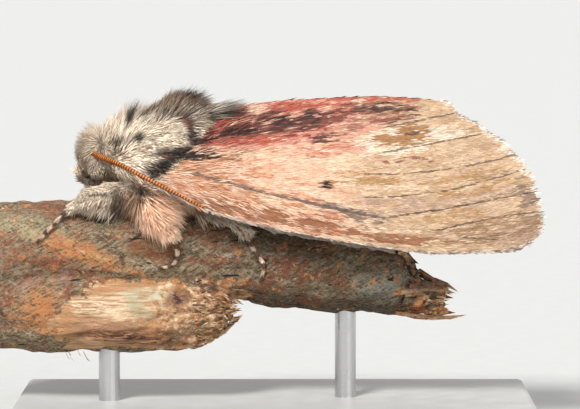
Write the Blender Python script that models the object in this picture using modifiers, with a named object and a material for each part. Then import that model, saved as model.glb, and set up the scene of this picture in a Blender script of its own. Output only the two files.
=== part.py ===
"""A prominent moth at rest on a cut length of forked twig, held over a flat display base.

Metres, +Z up, the head towards -X and the moth's left side towards -Y. The origin is the middle of
the base's underside. Sizes below are in millimetres and are multiplied by MM where a mesh is made.
"""

import math
import random

import bmesh
import bpy
import numpy as np
from mathutils import Matrix, Vector

MM = 0.001
GAP = 0.3  # clearance that neighbouring pieces keep
FACETING = 0.08  # added to the gap where a cutter's flat faces lie inside the form it stands for
SHEET = 0.5  # thickness of a wing membrane
SEED = 11

# Display stand
BASE_LENGTH = 22.0
BASE_WIDTH = 13.0
BASE_THICK = 1.2
BASE_CORNER = 0.25
ROD_RADIUS = 0.45
ROD_SIDES = 16
ROD_STATIONS = {"stand_rod_front": -7.0, "stand_rod_rear": 3.0}

# Twig: the upper limb that the moth stands on, and the torn lower stub that forks from it
TWIG_SIDES = 14
LIMB_X = (-12.6, -10.3, -7.4, -3.0, 0.2, 3.5, 5.2, 6.0, 7.3)
LIMB_Z = (7.1, 7.35, 7.48, 7.3, 6.93, 6.6, 6.35, 5.65, 5.3)
LIMB_RADIUS = (2.25, 2.2, 2.05, 2.0, 1.92, 1.82, 1.65, 1.05, 0.65)
STUB_X = (-12.6, -10.5, -8.0, -5.5, -3.7, -2.4, -1.6)
STUB_Y = (-0.3, -0.8, -1.15, -1.25, -1.2, -1.1, -1.0)
STUB_Z = (5.2, 5.0, 4.9, 4.8, 4.75, 4.85, 5.0)
STUB_RADIUS = (1.9, 1.75, 1.65, 1.55, 1.4, 0.95, 0.4)
BARK_ROUGHNESS = 0.06

# Folded wings, as a roof whose ridge lies along the back and whose eaves are the front edges
WING_X = (-4.9, -3.2, -1.3, 1.9, 4.4, 7.0, 9.6, 11.4)
RIDGE_Z = (12.3, 13.0, 13.6, 13.9, 13.98, 13.8, 13.4, 13.1)
EAVE_Z = (10.36, 9.55, 8.95, 8.33, 7.92, 7.62, 7.66, 8.25)
EAVE_Y = (2.85, 3.1, 3.35, 3.55, 3.5, 3.3, 2.9, 2.45)
RIDGE_Y = 0.1  # how far out of the middle the ridge starts, before the slit is cut between the wings
ROOT_T = (0.0, 0.3, 0.6, 1.0)
ROOT_X = (-2.7, -3.3, -4.0, -4.85)
EDGE_T = (0.0, 0.08, 0.2, 0.3, 0.43, 0.58, 0.83, 0.95, 1.0)
EDGE_X = (7.44, 7.95, 9.5, 10.2, 10.75, 11.1, 11.39, 11.3, 10.9)
ROOF_BULGE = 2.4  # 1 is a flat roof; more makes its slopes bulge outwards
VEINS = (0.045, 0.13, 0.265, 0.37, 0.5, 0.65, 0.82)
VEIN_HALF_WIDTH = 0.016
VEIN_HEIGHT = 0.13
VEIN_BOW = 0.26  # how far the veins bow towards the eave halfway along
WING_STATIONS = 10
HINDWING_STATIONS = 8
HINDWING_T = (0.66, 1.035)
HINDWING_X = (-2.5, 5.4)
HINDWING_ROOT_SLOPE = 1.9  # how much further back its lower edge starts, behind the hind leg
HINDWING_PLEATS = 5
PLEAT_HEIGHT = 0.1

# Body
THORAX_X = (-6.8, -6.3, -5.2, -4.1, -3.2, -2.85)
THORAX_TOP = (12.3, 12.75, 13.25, 13.55, 13.3, 12.9)
THORAX_BOTTOM = (10.7, 10.15, 9.85, 9.8, 10.0, 10.3)
THORAX_HALF_WIDTH = (1.2, 1.75, 2.1, 2.1, 1.75, 1.4)
ABDOMEN_X = (-2.4, -1.0, 1.0, 3.0, 4.8, 5.9)
ABDOMEN_Z = (11.15, 11.1, 11.0, 10.85, 10.7, 10.6)
ABDOMEN_RADIUS = (1.0, 1.35, 1.45, 1.3, 1.0, 0.5)
ABDOMEN_SEGMENTS = 8
HEAD_CENTRE = (-7.4, 0.0, 11.5)
HEAD_RADII = (0.85, 1.15, 0.95)
NECK_PLANE_X = -6.85  # where head and thorax part, at the height of the head's centre
NECK_PLANE_LEAN = -0.22
LEG_PLANE_X = -6.0  # where the brushes of the front and middle legs part
EYE_CENTRE = (-7.5, -0.98, 11.02)
EYE_RADIUS = 0.43
EYE_GAP = 0.2
ANTENNA_PATH = (
    (-7.75, -1.12, 11.95),
    (-7.3, -1.85, 11.75),
    (-6.6, -2.6, 11.4),
    (-5.3, -3.3, 10.72),
    (-4.1, -3.62, 10.12),
    (-3.2, -3.75, 9.66),
    (-2.95, -3.72, 9.52),
)
ANTENNA_RADII = (0.25, 0.27, 0.27, 0.26, 0.22, 0.14, 0.08)
ANTENNA_RINGS = 14
PALP_PATH = ((-7.95, -0.42, 10.38), (-8.3, -0.46, 10.45), (-8.62, -0.5, 10.75))
PALP_RADII = (0.25, 0.3, 0.16)

# Locks of the coat
LOCK_THICK = 0.5
LOCK_SINK = 0.35
LOCK_SHAPE = ((0.0, 0.8, 1.0), (0.42, 1.0, 1.0), (0.78, 0.6, 0.65))  # share, width, thickness
# Each row on the thorax: its station, half the turn covered, its locks, their length and how far they stand
THORAX_ROWS = (
    (-6.5, 1.95, 9, 1.3, 0.10),
    (-5.75, 1.95, 9, 1.5, 0.08),
    (-4.9, 1.85, 9, 1.5, 0.06),
    (-4.0, 1.3, 7, 1.45, 0.02),
)
CREST = ((-4.4, 0.75), (-3.9, 0.65), (-3.4, 0.35))  # station and steepness of its locks
# Each row on the head: its lift, its locks, half the turn covered, the way they lie, their length and droop.
# The face's coat lies downwards, the forehead's stands forward, the crown's runs up and back.
HEAD_ROWS = (
    (0.1, 3, 0.55, (-0.25, 0.0, -1.0), 0.75, 0.02),
    (0.55, 3, 0.8, (-0.75, 0.0, 0.5), 0.8, -0.02),
    (0.95, 4, 1.2, (-0.1, 0.0, 1.0), 0.8, 0.0),
    (-0.55, 2, 0.4, (-0.3, 0.0, -1.0), 0.6, 0.05),
)
CHEEK_LOCKS = ((-0.75, 0.8), (0.35, 0.9))  # lift and length

# Legs: the path and radii of each left thigh and shin, where its foot touches the bark, and its brush.
# A brush row holds the side it grows on, the way it lies, its length and its number of locks.
COAT_DEPTH = 0.45  # depth of the thorax's coat where the legs leave it
UNDERCOAT_Z = 10.9  # height below which the thorax's coat is trimmed to that depth
FOOT_RADIUS = 0.25
FOOT_JOINTS = 5
LEG_PATHS = {
    "front": ((-6.1, -1.35, 10.0), (-7.2, -1.75, 10.05), (-7.9, -1.8, 9.85), (-8.45, -1.65, 9.62)),
    "mid": ((-5.3, -1.45, 9.85), (-5.05, -1.95, 9.4), (-4.7, -2.3, 8.85), (-4.25, -2.4, 8.35)),
    "hind": ((-3.35, -1.05, 9.55), (-2.2, -1.25, 9.0), (-1.5, -1.55, 8.62), (-1.3, -1.95, 8.5)),
}
LEG_RADII = {
    "front": (0.45, 0.5, 0.42, 0.28),
    "mid": (0.65, 0.7, 0.6, 0.3),
    "hind": (0.38, 0.36, 0.3, 0.25),
}
FOOT_STOPS = {
    "front": ((-8.75, 9.2), (-9.3, 8.7), (-9.75, 8.2), (-10.0, 7.9)),
    "mid": ((-4.12, 7.85), (-4.08, 7.4), (-4.3, 7.0), (-4.95, 6.85)),
    "hind": ((-1.15, 8.05), (-0.8, 7.5), (-0.45, 6.95), (-0.6, 6.3)),
}
BRUSHES = {
    "front": (
        ((0.3, -0.6, -0.7), (0.35, -0.1, -1.0), 0.9, 4),
        ((0.3, 0.3, -0.9), (0.5, 0.1, -1.0), 0.8, 2),
        ((-0.3, -0.8, 0.4), (-0.8, -0.2, -0.7), 0.85, 3),
    ),
    "mid": (
        ((0.5, -0.9, 0.2), (0.45, -0.2, -1.0), 1.05, 3),
        ((-0.5, -0.9, 0.2), (0.1, -0.2, -1.0), 1.05, 3),
        ((1.0, -0.1, 0.0), (0.9, -0.1, -0.9), 0.95, 2),
        ((-1.0, -0.3, 0.1), (-0.25, -0.1, -1.0), 0.95, 2),
    ),
    "hind": (((0.2, -0.2, -1.0), (0.7, -0.1, -0.7), 0.75, 3),),
}


def smooth_line(stations, values):
    """A function that runs smoothly through the values at the stations, straight beyond both ends."""
    xs = np.array(stations, float)
    ys = np.array(values, float)
    slopes = np.diff(ys) / np.diff(xs)
    tangents = np.concatenate([slopes[:1], np.zeros(len(xs) - 2), slopes[-1:]])
    for i in range(1, len(xs) - 1):
        before, after = slopes[i - 1], slopes[i]
        if before * after > 0:
            tangents[i] = 2 * before * after / (before + after)

    def at(x):
        if x <= xs[0]:
            return ys[0] + tangents[0] * (x - xs[0])
        if x >= xs[-1]:
            return ys[-1] + tangents[-1] * (x - xs[-1])
        i = int(np.searchsorted(xs, x)) - 1
        width = xs[i + 1] - xs[i]
        s = (x - xs[i]) / width
        return (
            (1 + 2 * s) * (1 - s) ** 2 * ys[i]
            + s * (1 - s) ** 2 * width * tangents[i]
            + s * s * (3 - 2 * s) * ys[i + 1]
            - s * s * (1 - s) * width * tangents[i + 1]
        )

    return at


limb_z = smooth_line(LIMB_X, LIMB_Z)
limb_radius = smooth_line(LIMB_X, LIMB_RADIUS)
ridge_z = smooth_line(WING_X, RIDGE_Z)
eave_z = smooth_line(WING_X, EAVE_Z)
eave_y = smooth_line(WING_X, EAVE_Y)
root_x = smooth_line(ROOT_T, ROOT_X)
edge_x = smooth_line(EDGE_T, EDGE_X)
thorax_top = smooth_line(THORAX_X, THORAX_TOP)
thorax_bottom = smooth_line(THORAX_X, THORAX_BOTTOM)
thorax_half_width = smooth_line(THORAX_X, THORAX_HALF_WIDTH)


# Scene and mesh helpers
def clear_scene():
    for obj in list(bpy.data.objects):
        bpy.data.objects.remove(obj)


def new_collection(name):
    made = bpy.data.collections.new(name)
    bpy.context.scene.collection.children.link(made)
    return made


def finish(name, colour, roughness, metallic=0.0):
    material = bpy.data.materials.new(name)
    material.use_nodes = True
    shader = material.node_tree.nodes["Principled BSDF"]
    shader.inputs["Base Color"].default_value = (*colour, 1.0)
    shader.inputs["Roughness"].default_value = roughness
    shader.inputs["Metallic"].default_value = metallic
    return material


def object_from(bm, name, collection, material=None):
    """An object holding the bmesh, whose sizes are in millimetres."""
    bmesh.ops.scale(bm, vec=(MM, MM, MM), verts=bm.verts)
    bmesh.ops.recalc_face_normals(bm, faces=bm.faces)
    mesh = bpy.data.meshes.new(name)
    bm.to_mesh(mesh)
    bm.free()
    obj = bpy.data.objects.new(name, mesh)
    collection.objects.link(obj)
    if material:
        mesh.materials.append(material)
    return obj


def applied(obj):
    """The object's mesh with its modifiers applied."""
    bpy.context.view_layer.update()
    graph = bpy.context.evaluated_depsgraph_get()
    mesh = bpy.data.meshes.new_from_object(obj.evaluated_get(graph))
    old = obj.data
    obj.modifiers.clear()
    obj.data = mesh
    mesh.name = obj.name
    bpy.data.meshes.remove(old)


def keep_largest_body(obj):
    """Drops loose scraps and sealed hollows that a union or a cut has left."""
    bm = bmesh.new()
    bm.from_mesh(obj.data)
    bm.faces.ensure_lookup_table()
    unseen = set(bm.faces)
    bodies = []
    while unseen:
        front = [unseen.pop()]
        body = list(front)
        while front:
            face = front.pop()
            for edge in face.edges:
                for near in edge.link_faces:
                    if near in unseen:
                        unseen.discard(near)
                        front.append(near)
                        body.append(near)
        bodies.append(body)
    bodies.sort(key=lambda faces: sum(face.calc_area() for face in faces))
    loose = [face for body in bodies[:-1] for face in body]
    bmesh.ops.delete(bm, geom=loose, context="FACES")
    bm.to_mesh(obj.data)
    bm.free()


def joined(core, pieces):
    """The core with the pieces fused to it by one Boolean union. The pieces are removed."""
    union = core.modifiers.new("join", "BOOLEAN")
    union.operation = "UNION"
    union.operand_type = "COLLECTION"
    union.collection = pieces
    union.solver = "MANIFOLD"
    applied(core)
    for piece in list(pieces.objects):
        bpy.data.objects.remove(piece)
    bpy.data.collections.remove(pieces)
    keep_largest_body(core)
    return core


def cut_away(obj, cutter):
    """The object less the cutter, with the gap that the cutter already holds."""
    cut = obj.modifiers.new("cut", "BOOLEAN")
    cut.operation = "DIFFERENCE"
    cut.object = cutter
    cut.solver = "MANIFOLD"
    applied(obj)
    keep_largest_body(obj)


def mirrored(obj, name, collection):
    """The same piece on the moth's other side."""
    mesh = obj.data.copy()
    mesh.transform(Matrix.Scale(-1.0, 4, Vector((0.0, 1.0, 0.0))))
    mesh.flip_normals()
    twin = bpy.data.objects.new(name, mesh)
    collection.objects.link(twin)
    return twin


def loft(rings):
    """A closed body through rings of as many points each, in millimetres; a one-point ring is a tip."""
    bm = bmesh.new()
    made = [[bm.verts.new(point) for point in ring] for ring in rings]
    for lower, upper in zip(made, made[1:]):
        sides = max(len(lower), len(upper))
        for i in range(sides):
            j = (i + 1) % sides
            corners = [lower[i % len(lower)], lower[j % len(lower)]]
            corners += [upper[j % len(upper)], upper[i % len(upper)]]
            bm.faces.new(list(dict.fromkeys(corners)))
    for ring in (made[0], made[-1]):
        if len(ring) > 2:
            bm.faces.new(ring)
    bmesh.ops.triangulate(bm, faces=bm.faces, quad_method="FIXED")
    return bm


def tube_rings(path, radii, sides, squash=1.0):
    """Rings round a path, each square to the way it runs; squash flattens them sideways."""
    points = [Vector(point) for point in path]
    rings = []
    for i, centre in enumerate(points):
        along = (points[min(i + 1, len(points) - 1)] - points[max(i - 1, 0)]).normalized()
        side = along.cross(Vector((0.0, 0.0, 1.0)))
        side = side.normalized() if side.length > 0.2 else Vector((0.0, 1.0, 0.0))
        up = side.cross(along).normalized()
        ring = []
        for k in range(sides):
            turn = 2 * math.pi * k / sides
            offset = side * (math.cos(turn) * squash) + up * math.sin(turn)
            ring.append(centre + offset * radii[i])
        rings.append(ring)
    return rings


def refined(path, radii, steps):
    """The same path and radii at evenly spaced points of one smooth curve."""
    points = np.array(path, float)
    spacing = np.linalg.norm(np.diff(points, axis=0), axis=1)
    distance = np.concatenate([[0.0], np.cumsum(spacing)])
    lines = [smooth_line(distance, points[:, axis]) for axis in range(3)]
    width = smooth_line(distance, radii)
    stops = np.linspace(0.0, distance[-1], steps)
    return [tuple(line(s) for line in lines) for s in stops], [width(s) for s in stops]


def widened(points, widths, grow):
    """A tube's path and radii, both ends moved out and all radii enlarged by grow."""
    points = [Vector(point) for point in points]
    for end, next_in in ((0, 1), (-1, -2)):
        points[end] = points[end] + (points[end] - points[next_in]).normalized() * grow
    return points, [width + grow for width in widths]


# Locks of hair
def lock_rings(root, along, out, length, width, droop):
    """A flat lock that leaves the surface near its root, bends over and tapers to its tip.

    along is the way the coat lies there, out the surface's outward normal, and droop how far the tip
    comes back towards the surface, as a share of the length.
    """
    out = Vector(out).normalized()
    along = Vector(along)
    along = (along - out * along.dot(out)).normalized()
    side = out.cross(along).normalized()
    rings = []
    for share, wide, thick in LOCK_SHAPE:
        rise = LOCK_THICK * 1.1 * math.sin(math.pi * min(share + 0.12, 0.75)) - droop * length * share**2
        centre = Vector(root) + along * (length * share) + out * (rise - LOCK_SINK)
        half_width = side * (width * wide / 2)
        half_thick = out * (LOCK_THICK * thick / 2)
        rings.append([centre - half_width, centre - half_thick, centre + half_width, centre + half_thick])
    tip = Vector(root) + along * length + out * (LOCK_THICK * 0.6 - droop * length - LOCK_SINK)
    rings.append([tip])
    return rings


def add_lock(collection, root, along, out, length, width, droop=0.12):
    bm = loft(lock_rings(root, along, out, length, width, droop))
    return object_from(bm, f"lock_{len(collection.objects):03d}", collection)


# Twig and stand
def make_perch(name, collection, material=None, grow=0.0):
    """The forked twig. grow makes it that much thicker, as a cutter that keeps its neighbours clear."""
    chance = random.Random(SEED)

    def rough_rings(xs, ys, zs, radii, stations):
        y_at = smooth_line(xs, ys)
        z_at = smooth_line(xs, zs)
        radius_at = smooth_line(xs, radii)
        rings = []
        for x in np.linspace(xs[0], xs[-1], stations):
            ring = []
            for k in range(TWIG_SIDES):
                turn = 2 * math.pi * k / TWIG_SIDES
                grain = 1 - BARK_ROUGHNESS * chance.random()
                radius = radius_at(x) * grain + grow
                lean = 0.35 * (1 - radius_at(x) / max(radii)) * math.sin(3 * turn + x)
                across = y_at(x) + radius * math.cos(turn)
                ring.append((x + lean, across, z_at(x) + radius * math.sin(turn)))
            rings.append(ring)
        return rings

    limb_rings = rough_rings(LIMB_X, [0.0] * len(LIMB_X), LIMB_Z, LIMB_RADIUS, 16)
    limb = object_from(loft(limb_rings), name, collection, material)
    stub = new_collection(name + "_stub")
    object_from(loft(rough_rings(STUB_X, STUB_Y, STUB_Z, STUB_RADIUS, 11)), "stub", stub)
    return joined(limb, stub)


def make_stand(collection, plate, metal):
    bpy.ops.mesh.primitive_cube_add(size=1.0, location=(0.0, 0.0, BASE_THICK * MM / 2))
    base = bpy.context.object
    base.name = "stand_base"
    base.scale = (BASE_LENGTH * MM, BASE_WIDTH * MM, BASE_THICK * MM)
    bpy.ops.object.transform_apply(location=False, rotation=False, scale=True)
    rounded = base.modifiers.new("rounded edges", "BEVEL")
    rounded.width = BASE_CORNER * MM
    rounded.segments = 2
    base.data.materials.append(plate)
    move_to(base, collection)
    rear_x = ROD_STATIONS["stand_rod_rear"]
    tops = {
        "stand_rod_front": min(STUB_Z[2], STUB_Z[3]) - STUB_RADIUS[2] - GAP,
        "stand_rod_rear": limb_z(rear_x) - limb_radius(rear_x) - GAP,
    }
    depths = {"stand_rod_front": STUB_Y[2], "stand_rod_rear": 0.0}
    for name, x in ROD_STATIONS.items():
        bottom = BASE_THICK + GAP
        bpy.ops.mesh.primitive_cylinder_add(
            vertices=ROD_SIDES,
            radius=ROD_RADIUS * MM,
            depth=(tops[name] - bottom) * MM,
            location=(x * MM, depths[name] * MM, (tops[name] + bottom) / 2 * MM),
        )
        rod = bpy.context.object
        rod.name = name
        rod.data.materials.append(metal)
        move_to(rod, collection)


def move_to(obj, collection):
    for old in list(obj.users_collection):
        old.objects.unlink(obj)
    collection.objects.link(obj)


# Wings
def roof(t):
    """How far out the roof reaches at the share t of its height below the ridge, from 0 to 1."""
    t = min(max(t, 0.0), 1.0)
    return 1 - (1 - t) ** ROOF_BULGE


def wing_point(x, t):
    """A point on the left forewing's outer face."""
    z = ridge_z(x) - t * (ridge_z(x) - eave_z(x))
    y = -RIDGE_Y - (eave_y(x) - RIDGE_Y) * roof(t)
    return Vector((x, y, z))


def wing_normal(x, t):
    step = 0.02
    low, high = max(t - step, 0.001), min(t + step, 1.0)
    down = wing_point(x, high) - wing_point(x, low)
    back = wing_point(x + step, t) - wing_point(x - step, t)
    return down.cross(back).normalized()


def forewing_lines():
    """The shares v of the wing's depth at which its mesh has a line, each with its vein height."""
    lines = {0.0: 0.0, 1.0: 0.0}
    for near, far in zip(VEINS, (*VEINS[1:], 1.0)):
        lines[(near + far) / 2] = 0.0
    for vein in VEINS:
        lines[vein - VEIN_HALF_WIDTH] = 0.0
        lines[vein] = VEIN_HEIGHT
        lines[vein + VEIN_HALF_WIDTH] = 0.0
    return sorted(lines.items())


def forewing_surface(name, collection, grow=0.0):
    """The forewing's outer face with its veins raised in it. grow widens it all round."""
    bm = bmesh.new()
    rows = []
    lifts = []
    for i in range(WING_STATIONS):
        u = i / (WING_STATIONS - 1)
        row = []
        for v, height in forewing_lines():
            t = v + VEIN_BOW * math.sin(math.pi * v) * math.sin(math.pi * u)
            x = root_x(t) - grow + (edge_x(t) - root_x(t) + 2 * grow) * u
            spot = wing_point(x, t)
            spot += Vector((0.0, grow * (1 - t) ** 4, -grow * t**4))
            out = wing_normal(x, t)
            lifts.append(out * (height * min(1.0, 3 * u)))
            row.append(bm.verts.new(spot + out * grow))
        rows.append(row)
    return sheet_from(bm, rows, lifts, name, collection, SHEET + 2 * grow)


def sheet_from(bm, rows, lifts, name, collection, thickness):
    """A closed sheet whose outer face runs through the rows of points, each raised there by its lift."""
    for near, far in zip(rows, rows[1:]):
        for j in range(len(near) - 1):
            bm.faces.new((near[j], near[j + 1], far[j + 1], far[j]))
    bmesh.ops.triangulate(bm, faces=bm.faces, quad_method="FIXED")
    bmesh.ops.recalc_face_normals(bm, faces=bm.faces)
    if sum(face.normal.y for face in bm.faces) > 0:
        bmesh.ops.reverse_faces(bm, faces=bm.faces)
    bmesh.ops.scale(bm, vec=(MM, MM, MM), verts=bm.verts)
    mesh = bpy.data.meshes.new(name)
    bm.to_mesh(mesh)
    bm.free()
    obj = bpy.data.objects.new(name, mesh)
    collection.objects.link(obj)
    solid = obj.modifiers.new("membrane", "SOLIDIFY")
    solid.thickness = thickness * MM
    solid.offset = -1.0
    solid.use_even_offset = False
    applied(obj)
    for vertex, lift in zip(obj.data.vertices, lifts):
        vertex.co += lift * MM
    return obj


def hindwing_surface(name, collection, grow=0.0):
    """The pleated front part of the hindwing, close inside the forewing and just below its edge."""
    bm = bmesh.new()
    rows = []
    lifts = []
    lines = 2 * HINDWING_PLEATS + 1
    for i in range(HINDWING_STATIONS):
        u = i / (HINDWING_STATIONS - 1)
        row = []
        for j in range(lines):
            share = j / (lines - 1)
            start = HINDWING_X[0] + HINDWING_ROOT_SLOPE * share**0.7
            end = HINDWING_X[1] - 1.8 * (1 - share) ** 2 - 0.7 * share**4
            x = start - grow + (end - start + 2 * grow) * u
            t = HINDWING_T[0] + (HINDWING_T[1] - HINDWING_T[0]) * share
            spot = wing_point(x, min(t, 1.0))
            spot.z -= max(t - 1.0, 0.0) * (ridge_z(x) - eave_z(x)) - grow * (1 - 2 * share)
            out = wing_normal(x, min(t, 0.97))
            lifts.append(out * (PLEAT_HEIGHT if j % 2 else 0.0))
            row.append(bm.verts.new(spot - out * (SHEET + GAP + PLEAT_HEIGHT - grow)))
        rows.append(row)
    return sheet_from(bm, rows, lifts, name, collection, SHEET + 2 * grow)


# Body
def make_abdomen(collection, material):
    z_at = smooth_line(ABDOMEN_X, ABDOMEN_Z)
    radius_at = smooth_line(ABDOMEN_X, ABDOMEN_RADIUS)
    sides = 14
    rings = []
    for i in range(2 * ABDOMEN_SEGMENTS + 1):
        x = ABDOMEN_X[0] + (ABDOMEN_X[-1] - ABDOMEN_X[0]) * i / (2 * ABDOMEN_SEGMENTS)
        radius = radius_at(x) * (0.94 if i % 2 else 1.0)
        rings.append(
            [
                (
                    x,
                    radius * math.cos(2 * math.pi * k / sides),
                    z_at(x) + radius * math.sin(2 * math.pi * k / sides),
                )
                for k in range(sides)
            ]
        )
    return object_from(loft(rings), "abdomen", collection, material)


def thorax_point(x, turn):
    """A point on the thorax's core; turn is 0 at the top of the back and positive towards the left."""
    middle = (thorax_top(x) + thorax_bottom(x)) / 2
    half_height = (thorax_top(x) - thorax_bottom(x)) / 2
    return Vector((x, -thorax_half_width(x) * math.sin(turn), middle + half_height * math.cos(turn)))


def thorax_normal(x, turn):
    step = 0.05
    round_it = thorax_point(x, turn + step) - thorax_point(x, turn - step)
    back = thorax_point(x + step, turn) - thorax_point(x - step, turn)
    return round_it.cross(back).normalized()


def thorax_core(name, collection, material=None, grow=0.0):
    """The thorax without its coat; grow makes it that much thicker, for the faces of the coat."""
    sides = 16
    turns = [2 * math.pi * k / sides for k in range(sides)]
    rings = []
    for x in np.linspace(THORAX_X[0], THORAX_X[-1], 8):
        rings.append([thorax_point(x, turn) + thorax_normal(x, turn) * grow for turn in turns])
    if grow:
        ends = [(THORAX_X[0], -1.0), (THORAX_X[-1], 1.0)]
        caps = []
        for x, way in ends:
            further = Vector((way * 2 * grow, 0.0, 0.0))
            caps.append([thorax_point(x, turn) + further for turn in turns])
        rings = [caps[0], *rings, caps[1]]
    return object_from(loft(rings), name, collection, material)


def make_thorax(collection, material):
    core = thorax_core("thorax", collection, material)
    chance = random.Random(SEED + 1)
    locks = new_collection("thorax_locks")
    for station, reach, count, length, droop in THORAX_ROWS:
        for k in range(count):
            turn = -reach + 2 * reach * k / (count - 1)
            x = station + 0.18 * (chance.random() - 0.5)
            out = thorax_normal(x, turn)
            sag = math.sin(turn)
            along = Vector((1.0, -0.28 * sag, -0.5 * abs(sag)))
            long = length * (0.85 + 0.3 * chance.random())
            add_lock(locks, thorax_point(x, turn), along, out, long, 1.15, droop + 0.05)
    # The crest at the back of the thorax and the tuft behind it stand up above the wings
    for side in (-1.0, 1.0):
        for k, (x, rise) in enumerate(CREST):
            root = thorax_point(x, 0.22 * side)
            out = (thorax_normal(x, 0.22 * side) + Vector((rise - 0.9, 0.0, 0.0))).normalized()
            add_lock(locks, root, (1.0, -0.12 * side, rise), out, 1.45 - 0.1 * k, 0.85, -0.08)
    for side in (-1.0, 1.0):
        root = thorax_point(-3.05, 0.35 * side)
        add_lock(locks, root, (1.0, -0.1 * side, 0.45), (-0.3, -0.2 * side, 1.0), 1.6, 0.8, -0.08)
    return joined(core, locks)


def under_coat(collection):
    """All that hangs out of the thorax's coat on its lower half, where the legs begin."""
    size = 12.0
    bm = bmesh.new()
    bmesh.ops.create_cube(bm, size=size)
    bmesh.ops.translate(bm, vec=(THORAX_X[0], 0.0, UNDERCOAT_Z - size / 2), verts=bm.verts)
    block = object_from(bm, "under_coat", collection)
    cut_away(block, thorax_core("coat_face", collection, None, COAT_DEPTH))
    return block


def head_point(turn, lift):
    """A point on the head's core. turn runs from the face at 0 round to the left, lift from level up."""
    direction = Vector((-math.cos(turn) * math.cos(lift), -math.sin(turn) * math.cos(lift), math.sin(lift)))
    return Vector(HEAD_CENTRE) + Vector([d * r for d, r in zip(direction, HEAD_RADII)])


def head_normal(turn, lift):
    offset = head_point(turn, lift) - Vector(HEAD_CENTRE)
    return Vector([o / (r * r) for o, r in zip(offset, HEAD_RADII)]).normalized()


def make_head(collection, material):
    bm = bmesh.new()
    bmesh.ops.create_uvsphere(bm, u_segments=14, v_segments=9, radius=1.0)
    bmesh.ops.scale(bm, vec=HEAD_RADII, verts=bm.verts)
    bmesh.ops.translate(bm, vec=HEAD_CENTRE, verts=bm.verts)
    head = object_from(bm, "head", collection, material)
    chance = random.Random(SEED + 2)
    locks = new_collection("head_locks")
    for lift, count, reach, lie, length, droop in HEAD_ROWS:
        for k in range(count):
            turn = -reach + 2 * reach * k / (count - 1)
            root = head_point(turn, lift)
            out = head_normal(turn, lift)
            along = Vector((lie[0], -0.5 * math.sin(turn), lie[2]))
            long = length * (0.9 + 0.2 * chance.random())
            add_lock(locks, root, along, out, long, 0.85, droop)
    for side in (-1.0, 1.0):
        for lift, length in CHEEK_LOCKS:
            turn = 1.95 * side
            root = head_point(turn, lift)
            add_lock(locks, root, (1.0, -0.2 * side, 0.15), head_normal(turn, lift), length, 0.7)
    return joined(head, locks)


def make_eye(name, collection, material=None, radius=EYE_RADIUS):
    bm = bmesh.new()
    bmesh.ops.create_uvsphere(bm, u_segments=12, v_segments=8, radius=radius)
    bmesh.ops.translate(bm, vec=EYE_CENTRE, verts=bm.verts)
    return object_from(bm, name, collection, material)


def beyond_plane(name, collection, point, way, lean=0.0):
    """A block that takes away all past a plane through the point, less half the gap on this side of it.

    way is the direction that it lies in, along X or Y, and lean tips the plane about Y.
    """
    size = 60.0
    bm = bmesh.new()
    bmesh.ops.create_cube(bm, size=size)
    bmesh.ops.translate(bm, vec=Vector(way) * (size / 2 - GAP / 2), verts=bm.verts)
    turn = Matrix.Rotation(-math.atan(lean), 3, "Y")
    bmesh.ops.rotate(bm, cent=(0.0, 0.0, 0.0), matrix=turn, verts=bm.verts)
    bmesh.ops.translate(bm, vec=point, verts=bm.verts)
    return object_from(bm, name, collection)


def make_antenna(name, collection, material=None, grow=0.0):
    points, widths = refined(ANTENNA_PATH, ANTENNA_RADII, 2 * ANTENNA_RINGS + 1)
    if grow:
        points, widths = widened(points, widths, grow)
    else:
        widths = [width * (0.78 if i % 2 else 1.0) for i, width in enumerate(widths)]
    return object_from(loft(tube_rings(points, widths, 6)), name, collection, material)


def make_palp(name, collection, material=None, grow=0.0):
    points, widths = refined(PALP_PATH, PALP_RADII, 5)
    points, widths = widened(points, widths, grow)
    return object_from(loft(tube_rings(points, widths, 8)), name, collection, material)


# Legs
def on_bark(x, z, radius):
    """The point at x and z where a foot of this radius lies against the limb's near flank."""
    reach = limb_radius(x) + GAP + radius
    drop = z - limb_z(x)
    return (x, -math.sqrt(max(reach * reach - drop * drop, 0.0)), z)


def make_leg(place, collection, material):
    """The left thigh and shin, thickly scaled, with the locks of their brush."""
    path, radii = LEG_PATHS[place], LEG_RADII[place]
    points, widths = refined(path, radii, 7)
    leg = object_from(loft(tube_rings(points, widths, 8)), f"leg_{place}_l", collection, material)
    chance = random.Random(SEED + len(place))
    locks = new_collection("leg_locks")
    steps = 40
    points, widths = refined(path, radii, steps + 1)
    for out, lie, length, count in BRUSHES[place]:
        for share in np.linspace(0.2, 0.9, count):
            i = int(share * steps)
            root = Vector(points[i]) + Vector(out).normalized() * widths[i]
            long = length * (0.85 + 0.3 * chance.random())
            add_lock(locks, root, lie, out, long, 0.8)
    return joined(leg, locks)


def make_foot(name, place, collection, material=None, grow=0.0):
    """The jointed left foot on the bark: a chain of short swellings that ends in a narrow claw."""
    path = [on_bark(x, z, FOOT_RADIUS) for x, z in FOOT_STOPS[place]]
    radii = [FOOT_RADIUS] * (len(path) - 1) + [FOOT_RADIUS * 0.6]
    points, widths = refined(path, radii, 2 * FOOT_JOINTS + 1)
    if grow:
        points, widths = widened(points, widths, grow)
    else:
        widths = [width * (0.8 if i % 2 else 1.0) for i, width in enumerate(widths)]
    return object_from(loft(tube_rings(points, widths, 6)), name, collection, material)


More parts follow.
